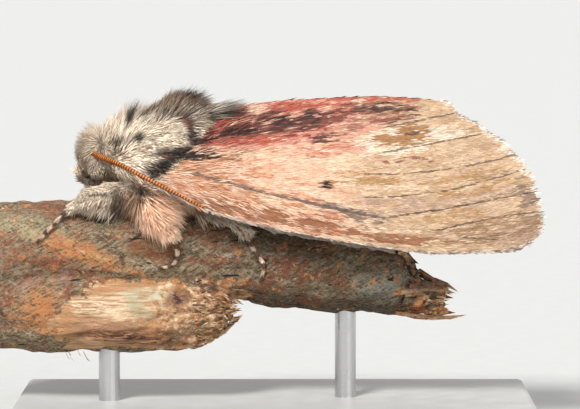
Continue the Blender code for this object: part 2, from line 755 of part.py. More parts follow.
def build():
    clear_scene()
    moth = new_collection("moth")
    cutters = new_collection("cutters")
    fur = finish("fur", (0.62, 0.56, 0.5), 0.9)
    leg_fur = finish("leg_fur", (0.66, 0.5, 0.42), 0.9)
    shin = finish("shin", (0.4, 0.3, 0.24), 0.7)
    wing = finish("wing", (0.78, 0.52, 0.38), 0.75)
    hind = finish("hindwing", (0.5, 0.44, 0.4), 0.8)
    horn = finish("antenna", (0.55, 0.24, 0.08), 0.5)
    eye = finish("eye", (0.2, 0.19, 0.17), 0.3)
    bark = finish("bark", (0.3, 0.27, 0.2), 0.95)
    plate = finish("stand_plate", (0.8, 0.8, 0.78), 0.5)
    metal = finish("stand_metal", (0.6, 0.6, 0.6), 0.3, 1.0)

    make_perch("perch", moth, bark)
    make_stand(moth, plate, metal)
    forewing = forewing_surface("forewing_l", moth)
    forewing.data.materials.append(wing)
    hindwing = hindwing_surface("hindwing_l", moth)
    hindwing.data.materials.append(hind)
    make_abdomen(moth, fur)
    thorax = make_thorax(moth, fur)
    head = make_head(moth, fur)
    eye_l = make_eye("eye_l", moth, eye)
    antenna = make_antenna("antenna_l", moth, horn)
    palp = make_palp("palp_l", moth, fur)
    legs = {place: make_leg(place, moth, leg_fur) for place in LEG_PATHS}
    feet = {place: make_foot(f"foot_{place}_l", place, moth, shin) for place in LEG_PATHS}

    # Head: the neck's plane, and room for the eyes, feelers and palps
    neck = (NECK_PLANE_X, 0.0, HEAD_CENTRE[2])
    cut_away(head, beyond_plane("behind_neck", cutters, neck, (1.0, 0.0, 0.0), NECK_PLANE_LEAN))
    cut_away(thorax, beyond_plane("before_neck", cutters, neck, (-1.0, 0.0, 0.0), NECK_PLANE_LEAN))
    for clear in (
        make_eye("socket_l", cutters, None, EYE_RADIUS + EYE_GAP),
        make_antenna("antenna_clearance_l", cutters, None, GAP),
        make_palp("palp_clearance_l", cutters, None, GAP),
    ):
        cut_away(head, clear)
        cut_away(head, mirrored(clear, clear.name[:-2] + "_r", cutters))
        if clear.name.startswith("antenna"):
            cut_away(thorax, clear)
            cut_away(thorax, bpy.data.objects["antenna_clearance_r"])

    # Wings and legs: each keeps clear of the coat of the thorax and of one another
    cut_away(forewing, beyond_plane("wing_slit", cutters, (0.0, 0.0, 0.0), (0.0, 1.0, 0.0)))
    between_legs = (LEG_PLANE_X, 0.0, 0.0)
    cut_away(legs["front"], beyond_plane("behind_front_leg", cutters, between_legs, (1.0, 0.0, 0.0)))
    cut_away(legs["mid"], beyond_plane("before_middle_leg", cutters, between_legs, (-1.0, 0.0, 0.0)))
    wing_clearance = forewing_surface("forewing_clearance_l", cutters, GAP + FACETING)
    cut_away(thorax, wing_clearance)
    cut_away(thorax, mirrored(wing_clearance, "forewing_clearance_r", cutters))
    cut_away(thorax, under_coat(cutters))
    perch_clearance = make_perch("perch_clearance", cutters, None, GAP + FACETING)
    coat = thorax_core("coat_clearance", cutters, None, COAT_DEPTH + GAP)
    hindwing_clearance = hindwing_surface("hindwing_clearance_l", cutters, GAP)
    cut_away(thorax, perch_clearance)
    for place, leg in legs.items():
        for clear in (wing_clearance, hindwing_clearance, perch_clearance, coat):
            cut_away(leg, clear)
        cut_away(leg, make_foot(f"foot_clearance_{place}", place, cutters, None, GAP))

    for left in [forewing, hindwing, eye_l, antenna, palp, *legs.values(), *feet.values()]:
        mirrored(left, left.name[:-2] + "_r", moth)
    for cutter in list(cutters.objects):
        cutter.hide_render = True
        cutter.display_type = "WIRE"


build()
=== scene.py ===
"""The looks of the red-humped moth on its twig and stand: skin, hair, wing scales, bark, light and camera.

Forms are worked out in millimetres, head towards -X and the side that the camera sees towards -Y, and turn
into metres as a mesh is finished. They repeat the sizes that the solids are made from, so each piece lies
where its solid lies. A form is a surface with two shares: a runs across or around it, b along it.
"""

import math

import bmesh
import bpy
import numpy as np
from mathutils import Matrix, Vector, noise


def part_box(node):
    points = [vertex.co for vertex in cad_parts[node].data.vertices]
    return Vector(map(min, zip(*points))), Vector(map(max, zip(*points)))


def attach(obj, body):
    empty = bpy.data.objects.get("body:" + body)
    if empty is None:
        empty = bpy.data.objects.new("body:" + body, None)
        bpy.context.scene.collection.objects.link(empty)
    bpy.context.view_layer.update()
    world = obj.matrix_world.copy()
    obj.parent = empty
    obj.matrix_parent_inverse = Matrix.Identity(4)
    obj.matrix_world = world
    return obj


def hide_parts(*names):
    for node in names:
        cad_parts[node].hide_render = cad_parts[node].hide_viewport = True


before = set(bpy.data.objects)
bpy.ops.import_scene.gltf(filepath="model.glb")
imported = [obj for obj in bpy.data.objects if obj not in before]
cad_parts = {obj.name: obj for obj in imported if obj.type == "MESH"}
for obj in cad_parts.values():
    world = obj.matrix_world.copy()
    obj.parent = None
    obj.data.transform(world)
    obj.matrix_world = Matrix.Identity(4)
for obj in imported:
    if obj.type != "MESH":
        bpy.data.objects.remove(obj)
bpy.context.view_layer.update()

MM = 0.001
SEED = 7
SIDES = (("l", -1.0), ("r", 1.0))  # the left side is the near one

# Camera, as far off and as high as it stands in the photograph
CAMERA_AIM = (0.64, 0.0, 9.41)
CAMERA_ELEVATION = 4.0
CAMERA_DISTANCE = 150.0
CAMERA_SENSOR = 36.0
VIEW_WIDTH = 24.65  # what the picture's width spans at the aim, in millimetres

LIGHTS = {  # strength, degrees to the right of the camera, degrees up, softness in radians
    "key": (3.95, -24.0, 42.0, 0.3),
    "fill": (0.9, 38.0, 22.0, 0.9),
    "rim": (0.6, 165.0, 50.0, 0.6),
}
SKY_STRENGTH = 0.4
FLOOR_SIZE = 4.0  # in metres

# Stand and twig
BASE_THICK = 1.2
ROD_RADIUS = 0.45
ROD_SINK = 0.05  # how deep a rod stands in the plate
ROD_REACH = 0.8  # how far it goes past its solid, into the twig
ROD_STATIONS = {"stand_rod_front": -7.0, "stand_rod_rear": 3.0}
LIMB_X = (-12.6, -10.3, -7.4, -3.0, 0.2, 3.5, 5.2, 6.0, 7.3)
LIMB_Z = (7.1, 7.35, 7.48, 7.3, 6.93, 6.6, 6.35, 5.65, 5.3)
LIMB_RADIUS = (2.25, 2.2, 2.05, 2.0, 1.92, 1.82, 1.65, 1.05, 0.65)
STUB_X = (-12.6, -10.5, -8.0, -5.5, -3.7, -2.4, -1.6)
STUB_Y = (-0.3, -0.8, -1.15, -1.25, -1.2, -1.1, -1.0)
STUB_Z = (5.2, 5.0, 4.9, 4.8, 4.75, 4.85, 5.0)
STUB_RADIUS = (1.9, 1.75, 1.65, 1.55, 1.4, 0.95, 0.4)
TWIG_VOXEL = 0.105
TORN_FACE_Z = (3.4, 4.6, 5.6, 6.2, 6.7)
TORN_FACE_X = (-9.0, -9.4, -8.4, -7.9, -6.9)  # where the bare wood starts at each height

# Wings
WING_X = (-4.9, -3.2, -1.3, 1.9, 4.4, 7.0, 9.6, 11.4)
RIDGE_Z = (12.3, 13.0, 13.6, 13.9, 13.98, 13.8, 13.4, 13.1)
EAVE_Z = (10.36, 9.55, 8.95, 8.33, 7.92, 7.62, 7.66, 8.25)
EAVE_Y = (2.85, 3.1, 3.35, 3.55, 3.5, 3.3, 2.9, 2.45)
RIDGE_Y = 0.1
WING_SLIT = 0.06
ROOT_T = (0.0, 0.3, 0.6, 1.0)
ROOT_X = (-2.7, -3.3, -4.0, -4.85)
EDGE_T = (0.0, 0.08, 0.2, 0.3, 0.43, 0.58, 0.83, 0.95, 1.0)
EDGE_X = (7.44, 7.95, 9.5, 10.2, 10.75, 11.1, 11.39, 11.3, 10.9)
ROOF_BULGE = 2.4
VEINS = (0.045, 0.13, 0.265, 0.37, 0.5, 0.65, 0.82)
VEIN_BOW = 0.26
VEIN_RISE = 0.03
VEIN_WIDTH = 0.012  # as a share of the way from ridge to edge
MEMBRANE = 0.14
FLOW_X = (-4.9, -3.0, 0.0, 3.0, 6.0, 9.0, 11.4)
FLOW_Z = (11.45, 11.5, 11.55, 11.6, 11.8, 12.25, 12.8)  # the line that the scales' lie fans out from
FLOW_SPREAD = (-0.73, 0.0, 0.62, 0.9, 1.05, 1.14, 1.2)  # logarithm of how far the lines have fanned out
FRINGE = 0.42  # length of the fringe, inside the wing's outline
FRINGE_BUNCHES = 9
HINDWING_T = (0.66, 1.035)
HINDWING_X = (-2.5, 5.4)
HINDWING_ROOT_SLOPE = 1.9
HINDWING_DEPTH = 0.75
PLEATS = 5
PLEAT_RISE = 0.08

# Body
SKIN_DEPTH = 0.1  # how far the skin lies inside the solids' cores
SKIN_VOXEL = 0.1
THORAX_X = (-6.8, -6.3, -5.2, -4.1, -3.2, -2.85)
THORAX_TOP = (12.3, 12.75, 13.25, 13.55, 13.3, 12.9)
THORAX_BOTTOM = (10.7, 10.15, 9.85, 9.8, 10.0, 10.3)
THORAX_HALF_WIDTH = (1.2, 1.75, 2.1, 2.1, 1.75, 1.4)
LIE_HEIGHTS = (-1.0, -0.4, 0.2, 0.8, 1.0)  # from the belly to the back
LIE_DEGREES = (-52.0, -34.0, -6.0, 14.0, 22.0)  # how the hair there rises towards the tail
COLLAR_HEIGHTS = (-1.0, -0.3, 0.2, 1.0)
COLLAR_DEGREES = (-10.0, 8.0, 46.0, 36.0)  # what the collar adds
ABDOMEN_X = (-2.4, -1.0, 1.0, 3.0, 4.8, 5.9)
ABDOMEN_Z = (11.15, 11.1, 11.0, 10.85, 10.7, 10.6)
ABDOMEN_RADIUS = (1.0, 1.35, 1.45, 1.3, 1.0, 0.5)
ABDOMEN_HAIR_DEPTH = 0.2
WAIST = (-3.4, 0.0, 11.2)
WAIST_RADIUS = 0.9
NECK_X = (-7.4, -6.9, -6.4)
NECK_RADII = (0.8, 0.95, 1.1)
HEAD_CENTRE = (-7.4, 0.0, 11.5)
HEAD_RADII = (0.85, 1.15, 0.95)
HEAD_WHORL = (-7.35, 11.95)  # X and Z of the parting that the head's hair leaves in all directions
EYE_CENTRE = (-7.5, -0.98, 11.02)
EYE_RADIUS = 0.43
PALP_PATH = ((-7.6, -0.4, 10.5), (-7.9, -0.45, 10.42), (-8.15, -0.5, 10.52), (-8.35, -0.52, 10.8))
PALP_RADII = (0.17, 0.13, 0.1, 0.04)
ANTENNA_PATH = (
    (-7.7, -0.95, 11.68),
    (-7.3, -1.7, 11.55),
    (-6.6, -2.55, 11.33),
    (-5.3, -3.3, 10.72),
    (-4.1, -3.62, 10.12),
    (-3.2, -3.75, 9.66),
    (-2.95, -3.72, 9.52),
)
ANTENNA_RADII = (0.095, 0.1, 0.095, 0.085, 0.07, 0.05, 0.03)
LEG_PATHS = {
    "front": (
        (-5.9, -0.9, 10.3),
        (-6.4, -1.4, 10.02),
        (-7.2, -1.75, 10.05),
        (-7.9, -1.8, 9.85),
        (-8.6, -1.62, 9.4),
    ),
    "mid": (
        (-5.3, -0.9, 10.1),
        (-5.2, -1.6, 9.75),
        (-5.05, -1.95, 9.4),
        (-4.7, -2.3, 8.85),
        (-4.2, -2.4, 8.2),
    ),
    "hind": (
        (-3.9, -0.7, 9.9),
        (-3.2, -1.1, 9.5),
        (-2.2, -1.25, 9.0),
        (-1.5, -1.55, 8.62),
        (-1.25, -1.97, 8.35),
    ),
}
LEG_RADII = {
    "front": (0.36, 0.36, 0.28, 0.2, 0.11),
    "mid": (0.45, 0.5, 0.44, 0.3, 0.11),
    "hind": (0.25, 0.24, 0.22, 0.18, 0.12),
}
FOOT_STOPS = {
    "front": ((-8.65, 9.35), (-9.3, 8.7), (-9.75, 8.2), (-10.0, 7.9)),
    "mid": ((-4.16, 8.05), (-4.08, 7.4), (-4.3, 7.0), (-4.95, 6.85)),
    "hind": ((-1.2, 8.2), (-0.8, 7.5), (-0.45, 6.95), (-0.6, 6.3)),
}
FOOT_RADII = (0.1, 0.08, 0.065, 0.045)

# How many tufts or scales each coat has, on one side where there are two
THORAX_TUFTS = 17400
NAPE_TUFTS = 1600
HEAD_TUFTS = 13000
EYE_MARGIN_TUFTS = 500
THIGH_FAN_TUFTS = 2000
ABDOMEN_TUFTS = 3000
PALP_TUFTS = 1000
FOOT_TUFTS = 700
FEELER_TEETH = 48
FOREWING_SCALES = 33000
HINDWING_SCALES = 6000
WING_ROOT_HAIRS = 2600
OUTER_FRINGE_SCALES = 2600
FRONT_FRINGE_SCALES = 1700
STUB_SPLINTERS = 420
HANGING_FIBRES = 5
LIMB_SPLINTERS = ((46, 0.89, 1.5, 0.55), (150, 0.91, 1.0, 0.16))  # count, where they start, length, width
CREST_ROWS = (  # start and end along X, half its share round the back, length, lift, count, bake map cell
    (-5.9, -3.55, 0.12, 1.25, 0.9, 5600, (0.0, 0.0, 1.0, 0.5)),
    (-3.4, -2.9, 0.07, 2.0, 0.74, 1500, (0.0, 0.5, 1.0, 0.5)),
)
LEG_BRUSHES = {  # count, length above, length below and the way that the brush hangs
    "front": (6200, 0.4, 1.0, (-0.1, 0.0, -1.0)),
    "mid": (6200, 0.75, 0.95, (1.2, 0.0, -0.9)),
    "hind": (2400, 0.9, 0.9, (1.0, 0.0, -0.1)),
}

# Linear colours
PEACH = (0.98, 0.56, 0.37)
CREAM = (1.0, 0.71, 0.50)
TAN = (0.66, 0.42, 0.25)
PALE_TAN = (0.92, 0.65, 0.43)
VEIN_BROWN = (0.075, 0.042, 0.03)
ORANGE_BROWN = (0.66, 0.26, 0.115)
RUST = (0.40, 0.15, 0.07)
SALMON = (0.86, 0.42, 0.30)
MAROON = (0.31, 0.085, 0.06)
RED = (0.56, 0.105, 0.065)
SOOT = (0.045, 0.024, 0.02)
GREY_BROWN = (0.19, 0.135, 0.11)
OCHRE = (0.46, 0.215, 0.08)
OLIVE = (0.55, 0.31, 0.13)
ROSY_GREY = (0.58, 0.38, 0.275)
WHITE_HAIR = (0.93, 0.80, 0.64)
GREY_HAIR = (0.38, 0.28, 0.195)
DARK_HAIR = (0.026, 0.016, 0.012)
PINK_HAIR = (1.0, 0.64, 0.43)
BROWN_HAIR = (0.22, 0.12, 0.06)
BARK_RED = (0.22, 0.075, 0.042)
LICHEN_ORANGE = (0.50, 0.22, 0.085)
LICHEN_GREEN = (0.40, 0.41, 0.27)
TORN_WOOD = (0.58, 0.36, 0.19)
TORN_BROWN = (0.22, 0.09, 0.035)
BARE_BARK = (0.46, 0.32, 0.28)
CRACK_BLACK = (0.02, 0.012, 0.01)

# The wing's dark lines in side view: start and end along X, height at the start, slope and curve
LINE_VALUES = ("Start", "End", "Height", "Slope", "Curve")
VEIN_LINES = (
    (4.4, 7.6, 12.72, 0.19, 0.0),
    (4.5, 8.8, 11.75, 0.175, 0.0),
    (3.6, 10.2, 10.9, -0.03, 0.022),
    (3.6, 10.9, 9.94, 0.0, 0.0236),
    (4.3, 11.3, 9.07, 0.13, 0.005),
    (6.65, 11.4, 8.57, 0.22, -0.013),
    (7.5, 9.6, 8.27, -0.06, 0.0),
)
STEM_LINE = (-3.7, 4.6, 10.99, -0.27, 0.0045)

# The wing's markings from the bottom layer up: colour, middle (x, z), reach, turn, softness and strength
WING_MARKS = (
    (ORANGE_BROWN, (-1.9, 10.2), (2.4, 0.5), -12, 0.9, 0.4),
    (ORANGE_BROWN, (-3.8, 11.2), (0.9, 0.4), -5, 0.5, 0.6),
    (SALMON, (-0.3, 13.0), (4.3, 1.15), 5, 0.3, 0.92),
    (RED, (-0.5, 13.1), (4.0, 1.0), 5, 0.25, 0.3),
    (MAROON, (-2.4, 12.5), (1.3, 0.6), 12, 0.35, 0.6),
    (RED, (-0.4, 12.5), (3.2, 0.5), 5, 0.6, 0.3),
    (MAROON, (0.2, 12.95), (3.3, 0.55), 5, 0.6, 0.6),
    (SOOT, (0.3, 12.9), (2.9, 0.48), 5, 0.7, 0.45),
    (SOOT, (0.7, 13.05), (1.9, 0.28), 5, 0.6, 0.55),
    (SOOT, (-2.1, 12.45), (1.4, 0.16), 10, 0.5, 0.8),
    (SOOT, (-3.05, 12.4), (0.5, 0.5), 0, 0.4, 0.75),
    (SOOT, (-2.7, 13.3), (1.1, 0.16), 30, 0.5, 0.75),
    (RED, (-2.8, 12.8), (1.0, 0.22), 22, 0.5, 0.7),
    (RED, (-2.0, 13.2), (1.0, 0.2), 15, 0.5, 0.65),
    (RED, (-1.3, 12.15), (1.5, 0.12), 6, 0.6, 0.75),
    (RED, (0.8, 13.6), (1.8, 0.16), 3, 0.6, 0.7),
    (OCHRE, (-1.9, 11.62), (1.6, 0.12), 10, 0.6, 0.6),
    (SOOT, (-3.35, 11.62), (0.85, 0.2), 4, 0.5, 1.0),
    (CREAM, (-0.9, 13.42), (0.5, 0.2), 0, 0.5, 1.0),
    (RED, (2.3, 12.2), (1.3, 0.6), 15, 0.6, 0.25),
    (MAROON, (2.9, 12.9), (1.3, 0.5), 5, 0.5, 0.45),
    (SOOT, (2.2, 12.4), (1.0, 0.18), 15, 0.7, 0.6),
    (MAROON, (4.4, 13.5), (1.9, 0.32), 2, 0.4, 0.6),
    (SOOT, (4.2, 13.5), (1.5, 0.2), 3, 0.6, 0.55),
    (SOOT, (5.6, 13.3), (0.45, 0.16), 0, 0.6, 0.7),
    (MAROON, (4.9, 13.15), (1.1, 0.18), 8, 0.6, 0.6),
    (SOOT, (4.6, 12.95), (0.6, 0.07), 12, 0.5, 0.6),
    (RED, (3.0, 13.98), (3.8, 0.15), 0, 0.5, 0.8),
    (SALMON, (3.5, 12.4), (1.3, 0.8), 10, 0.5, 0.6),
    (MAROON, (3.5, 12.9), (0.9, 0.2), 12, 0.6, 0.5),
    (CREAM, (3.4, 13.8), (0.4, 0.08), 0, 0.6, 0.7),
    ((1.0, 0.82, 0.62), (5.1, 12.2), (1.7, 0.62), 6, 0.3, 0.95),
    (OCHRE, (5.55, 12.4), (1.5, 0.48), 6, 0.6, 0.9),
    (SOOT, (5.8, 12.5), (0.5, 0.14), 0, 0.8, 0.35),
    ((1.0, 0.84, 0.66), (7.2, 12.5), (0.8, 0.3), 5, 0.6, 0.8),
    ((1.0, 0.86, 0.70), (9.6, 12.15), (0.9, 0.3), -25, 0.6, 0.7),
    (RUST, (-0.9, 9.3), (3.2, 0.38), -10, 0.8, 0.8),
    (RUST, (2.2, 8.76), (2.2, 0.3), -9, 0.8, 0.8),
    (CREAM, (4.6, 10.35), (2.2, 0.14), -2, 0.7, 0.8),
    (ROSY_GREY, (4.8, 9.55), (2.4, 0.4), 4, 0.7, 0.5),
    (ROSY_GREY, (8.2, 9.75), (2.6, 0.3), 12, 0.7, 0.5),
    (OLIVE, (8.0, 10.75), (1.9, 0.16), 9, 0.6, 0.7),
    (OLIVE, (8.5, 10.2), (2.0, 0.16), 9, 0.6, 0.7),
    (GREY_BROWN, (10.7, 9.3), (0.6, 1.6), 10, 0.7, 0.3),
    (OLIVE, (3.9, 10.6), (1.7, 0.2), -2, 0.7, 0.8),
    (OLIVE, (3.3, 10.95), (0.9, 0.1), 0, 0.7, 0.7),
    (MAROON, (4.55, 11.35), (0.45, 0.07), 0, 0.7, 0.6),
    (MAROON, (5.75, 11.45), (0.6, 0.12), 8, 0.7, 0.55),
    (GREY_BROWN, (3.2, 9.2), (1.6, 0.3), -18, 0.8, 0.45),
    (RUST, (5.1, 8.2), (1.5, 0.2), -3, 0.6, 0.75),
    (CREAM, (4.6, 8.55), (1.4, 0.12), -3, 0.7, 0.9),
    (ROSY_GREY, (10.2, 8.3), (1.3, 0.55), 5, 0.7, 0.7),
    ((0.44, 0.26, 0.145), (8.9, 8.5), (2.7, 0.6), 6, 0.8, 0.65),
    (OLIVE, (7.2, 9.2), (1.2, 0.35), 0, 0.9, 0.5),
)
SPOT_MARKS = (
    (ORANGE_BROWN, (2.3, 10.47), (0.24, 0.22), 0, 0.4, 0.8),
    (SOOT, (2.16, 10.45), (0.16, 0.17), 0, 0.25, 1.0),
    (SOOT, (1.98, 10.55), (0.16, 0.05), 10, 0.3, 1.0),
    (SOOT, (1.98, 10.38), (0.16, 0.05), -10, 0.3, 1.0),
)

BARK_MARKS = (
    (LICHEN_ORANGE, (-8.3, 7.65), (2.1, 0.4), -21, 0.5, 0.95),
    ((0.60, 0.42, 0.24), (-7.6, 7.45), (0.9, 0.1), -21, 0.6, 0.8),
    (LICHEN_GREEN, (-10.6, 8.6), (1.6, 0.45), -8, 0.7, 0.7),
    (BARK_RED, (-10.3, 7.4), (1.8, 0.35), -15, 0.8, 0.4),
    (BARE_BARK, (-8.9, 6.5), (0.4, 0.3), 20, 0.7, 0.5),
    (BARE_BARK, (-10.4, 6.2), (0.5, 0.2), 20, 0.7, 0.45),
    (LICHEN_ORANGE, (-9.9, 5.3), (0.9, 0.65), 30, 0.6, 0.85),
    (LICHEN_ORANGE, (-9.4, 4.5), (0.8, 0.35), 0, 0.6, 0.8),
    (TORN_BROWN, (-5.5, 7.9), (0.7, 0.35), 30, 0.7, 0.7),
    (CRACK_BLACK, (-5.75, 8.2), (0.45, 0.06), 32, 0.4, 0.9),
    (CRACK_BLACK, (-6.35, 7.2), (0.1, 0.35), 10, 0.4, 0.9),
    (CRACK_BLACK, (-7.7, 6.75), (1.4, 0.05), -4, 0.4, 0.9),
    (CRACK_BLACK, (-11.4, 5.0), (0.08, 0.5), 20, 0.5, 0.9),
    ((0.31, 0.34, 0.31), (4.7, 6.1), (1.2, 0.6), 0, 0.6, 0.85),
    ((0.55, 0.36, 0.04), (5.55, 5.8), (0.32, 0.22), 0, 0.6, 0.9),
)
TORN_MARKS = (
    ((0.88, 0.70, 0.48), (-6.9, 5.4), (1.6, 0.5), -4, 0.6, 0.7),
    (LICHEN_GREEN, (-5.7, 5.35), (0.3, 0.75), 35, 0.6, 0.75),
    ((0.62, 0.60, 0.42), (-5.4, 5.8), (0.9, 0.22), 0, 0.6, 0.8),
    ((0.42, 0.22, 0.13), (-7.2, 4.6), (1.7, 0.22), 0, 0.7, 0.7),
    ((0.17, 0.06, 0.032), (-6.6, 4.15), (2.2, 0.3), -2, 0.6, 0.95),
    ((0.06, 0.022, 0.014), (-5.4, 3.95), (1.6, 0.28), -6, 0.6, 1.0),
    ((0.06, 0.018, 0.022), (-4.0, 5.65), (0.45, 0.34), 10, 0.6, 0.95),
    ((0.07, 0.03, 0.02), (-4.0, 5.1), (0.7, 0.07), 4, 0.5, 0.85),
    (LICHEN_ORANGE, (-5.1, 4.4), (0.6, 0.35), 0, 0.7, 0.6),
    (LICHEN_ORANGE, (-2.1, 5.4), (0.22, 0.12), 0, 0.5, 0.95),
    (LICHEN_ORANGE, (-7.4, 5.95), (1.5, 0.14), 8, 0.6, 0.8),
    (LICHEN_ORANGE, (-8.7, 4.9), (0.35, 0.9), 0, 0.6, 0.7),
    # The marks from here on darken the limb's torn end and the wood by it, partly as its dark wood and holes
    # and partly as painted shade.
    ((0.20, 0.125, 0.105), (6.3, 6.3), (1.4, 0.5), 0, 0.5, 0.95),
    ((0.03, 0.016, 0.012), (5.6, 5.25), (1.2, 0.34), -4, 0.4, 1.0),
    ((0.03, 0.018, 0.014), (6.0, 6.7), (0.5, 0.6), 20, 0.4, 1.0),
    ((0.24, 0.07, 0.03), (6.5, 5.1), (1.2, 0.3), -4, 0.5, 0.95),
    ((0.34, 0.12, 0.05), (4.6, 4.75), (0.9, 0.2), 0, 0.6, 0.8),
)

# The coat's markings: colour, middle (x, distance from the middle plane, z), reach, turn, softness, strength
COAT_MARKS = (
    (PINK_HAIR, (-4.9, 1.8, 9.1), (1.5, 2.6, 1.2), -20, 0.4, 0.95),
    (PINK_HAIR, (-3.8, 1.8, 9.7), (0.9, 2.6, 0.6), -20, 0.5, 0.8),
    (GREY_HAIR, (-2.2, 1.8, 9.3), (1.3, 2.6, 0.7), 0, 0.5, 0.8),
    (BROWN_HAIR, (-6.0, 1.6, 9.5), (0.5, 2.4, 0.75), -20, 0.5, 0.8),
    (DARK_HAIR, (-6.55, 1.6, 9.6), (0.3, 2.4, 0.8), 0, 0.4, 0.95),
    (GREY_HAIR, (-7.6, 0.5, 11.7), (1.1, 2.0, 1.2), 0, 0.5, 0.7),
    (DARK_HAIR, (-5.6, 1.8, 10.15), (0.7, 2.0, 0.2), -20, 0.5, 0.8),
    (BROWN_HAIR, (-5.0, 0.4, 13.75), (1.5, 1.6, 0.4), 12, 0.7, 0.7),
    (DARK_HAIR, (-6.15, 0.8, 13.3), (0.7, 1.7, 0.17), 74, 0.4, 1.0),
    (DARK_HAIR, (-6.75, 1.6, 12.1), (0.4, 0.9, 0.2), 25, 0.5, 1.0),
    (DARK_HAIR, (-5.75, 2.2, 12.35), (0.4, 0.9, 0.2), 20, 0.5, 1.0),
    (DARK_HAIR, (-5.5, 1.0, 13.4), (0.4, 1.0, 0.1), 20, 0.5, 0.8),
    (DARK_HAIR, (-4.7, 1.1, 13.3), (0.3, 1.0, 0.1), 20, 0.5, 0.8),
    (DARK_HAIR, (-3.8, 2.5, 11.75), (1.3, 1.5, 0.24), 4, 0.35, 1.0),
    (DARK_HAIR, (-4.9, 2.6, 11.0), (0.65, 1.5, 0.33), 35, 0.4, 1.0),
    (DARK_HAIR, (-4.35, 2.6, 11.35), (0.6, 1.4, 0.2), 40, 0.5, 0.95),
    (ORANGE_BROWN, (-4.6, 2.6, 11.6), (0.22, 1.2, 0.07), 20, 0.5, 0.8),
    (DARK_HAIR, (-3.35, 1.8, 12.5), (1.2, 1.6, 0.22), -68, 0.4, 0.95),
    (MAROON, (-3.6, 1.5, 13.0), (0.4, 1.5, 0.14), -60, 0.5, 0.85),
    (MAROON, (-4.0, 1.3, 13.3), (0.4, 1.2, 0.1), -60, 0.5, 0.7),
    (BROWN_HAIR, (-3.8, 0.3, 13.9), (1.1, 1.2, 0.6), 0, 0.5, 0.8),
    (DARK_HAIR, (-3.5, 0.3, 14.1), (0.5, 1.2, 0.3), 20, 0.6, 0.7),
    (DARK_HAIR, (-2.3, 0.3, 13.35), (0.9, 1.0, 0.16), 12, 0.5, 0.9),
    (DARK_HAIR, (-7.32, 1.1, 11.9), (0.16, 0.8, 0.16), 0, 0.6, 0.6),
    (DARK_HAIR, (-8.1, 0.55, 10.5), (0.5, 0.7, 0.3), 0, 0.5, 0.85),
    (WHITE_HAIR, (-8.5, 0.55, 10.85), (0.25, 0.6, 0.2), 0, 0.5, 0.9),
    (GREY_HAIR, (-7.7, 1.8, 10.0), (1.6, 0.9, 0.8), 10, 0.6, 0.5),
    (DARK_HAIR, (-7.4, 2.1, 9.95), (0.55, 0.5, 0.07), 5, 0.6, 0.85),
    (BROWN_HAIR, (-8.2, 1.0, 11.0), (0.3, 0.9, 0.7), 0, 0.8, 0.4),
)


# Numbers
def smooth_line(stations, values):
    """A function that runs smoothly through the values at the stations, straight beyond both ends."""
    xs = np.array(stations, float)
    ys = np.array(values, float)
    slopes = np.diff(ys) / np.diff(xs)
    tangents = np.concatenate([slopes[:1], np.zeros(len(xs) - 2), slopes[-1:]])
    for i in range(1, len(xs) - 1):
        before, after = slopes[i - 1], slopes[i]
        if before * after > 0:
            tangents[i] = 2 * before * after / (before + after)

    def at(x):
        x = np.asarray(x, float)
        inside = np.clip(x, xs[0], xs[-1])
        i = np.clip(np.searchsorted(xs, inside) - 1, 0, len(xs) - 2)
        width = xs[i + 1] - xs[i]
        s = (inside - xs[i]) / width
        value = (
            (1 + 2 * s) * (1 - s) ** 2 * ys[i]
            + s * (1 - s) ** 2 * width * tangents[i]
            + s * s * (3 - 2 * s) * ys[i + 1]
            - s * s * (1 - s) * width * tangents[i + 1]
        )
        end = np.where(x < xs[0], tangents[0], tangents[-1])
        return value + (x - inside) * end

    return at


limb_z = smooth_line(LIMB_X, LIMB_Z)
limb_radius = smooth_line(LIMB_X, LIMB_RADIUS)
ridge_z = smooth_line(WING_X, RIDGE_Z)
eave_z = smooth_line(WING_X, EAVE_Z)
eave_y = smooth_line(WING_X, EAVE_Y)
root_x = smooth_line(ROOT_T, ROOT_X)
edge_x = smooth_line(EDGE_T, EDGE_X)
flow_z = smooth_line(FLOW_X, FLOW_Z)
flow_spread = smooth_line(FLOW_X, FLOW_SPREAD)
thorax_top = smooth_line(THORAX_X, THORAX_TOP)
thorax_bottom = smooth_line(THORAX_X, THORAX_BOTTOM)
thorax_half_width = smooth_line(THORAX_X, THORAX_HALF_WIDTH)


def unit(vectors):
    """The vectors at length 1."""
    return vectors / np.maximum(np.linalg.norm(vectors, axis=-1, keepdims=True), 1e-9)


def rise(x, low, high):
    """0 below low, 1 above high and smooth between them; low may be the larger."""
    s = np.clip((np.asarray(x, float) - low) / (high - low), 0, 1)
    return s * s * (3 - 2 * s)


# Forms
class Form:
    """A surface that place(a, b) gives in millimetres, with outward normals."""

    def __init__(self, place, outward=-1.0):
        self.place = place
        self.outward = outward

    def normals(self, a, b, step=0.002):
        across = self.place(a + step, b) - self.place(a - step, b)
        along = self.place(a, b + step) - self.place(a, b - step)
        return unit(np.cross(along, across)) * self.outward, unit(along)


def tube(path, radii, around=(0.0, 0.0, 1.0), flat=1.0):
    """The form round a smooth path; around is a way that the path never takes."""
    points = np.array(path, float)
    spacing = np.linalg.norm(np.diff(points, axis=0), axis=1)
    reach = np.concatenate([[0.0], np.cumsum(spacing)]) / spacing.sum()
    lines = [smooth_line(reach, points[:, axis]) for axis in range(3)]
    radius = smooth_line(reach, radii)

    def place(a, b):
        def centre(share):
            return np.stack([line(share) for line in lines], -1)

        along = unit(centre(b + 0.01) - centre(b - 0.01))
        side = unit(np.cross(along, np.array(around)))
        up = np.cross(side, along)
        turn = (2 * np.pi * a)[..., None]
        thick = np.maximum(radius(b), 0.01)[..., None]
        return centre(b) + thick * (side * np.sin(turn) * flat + up * np.cos(turn))

    return Form(place)


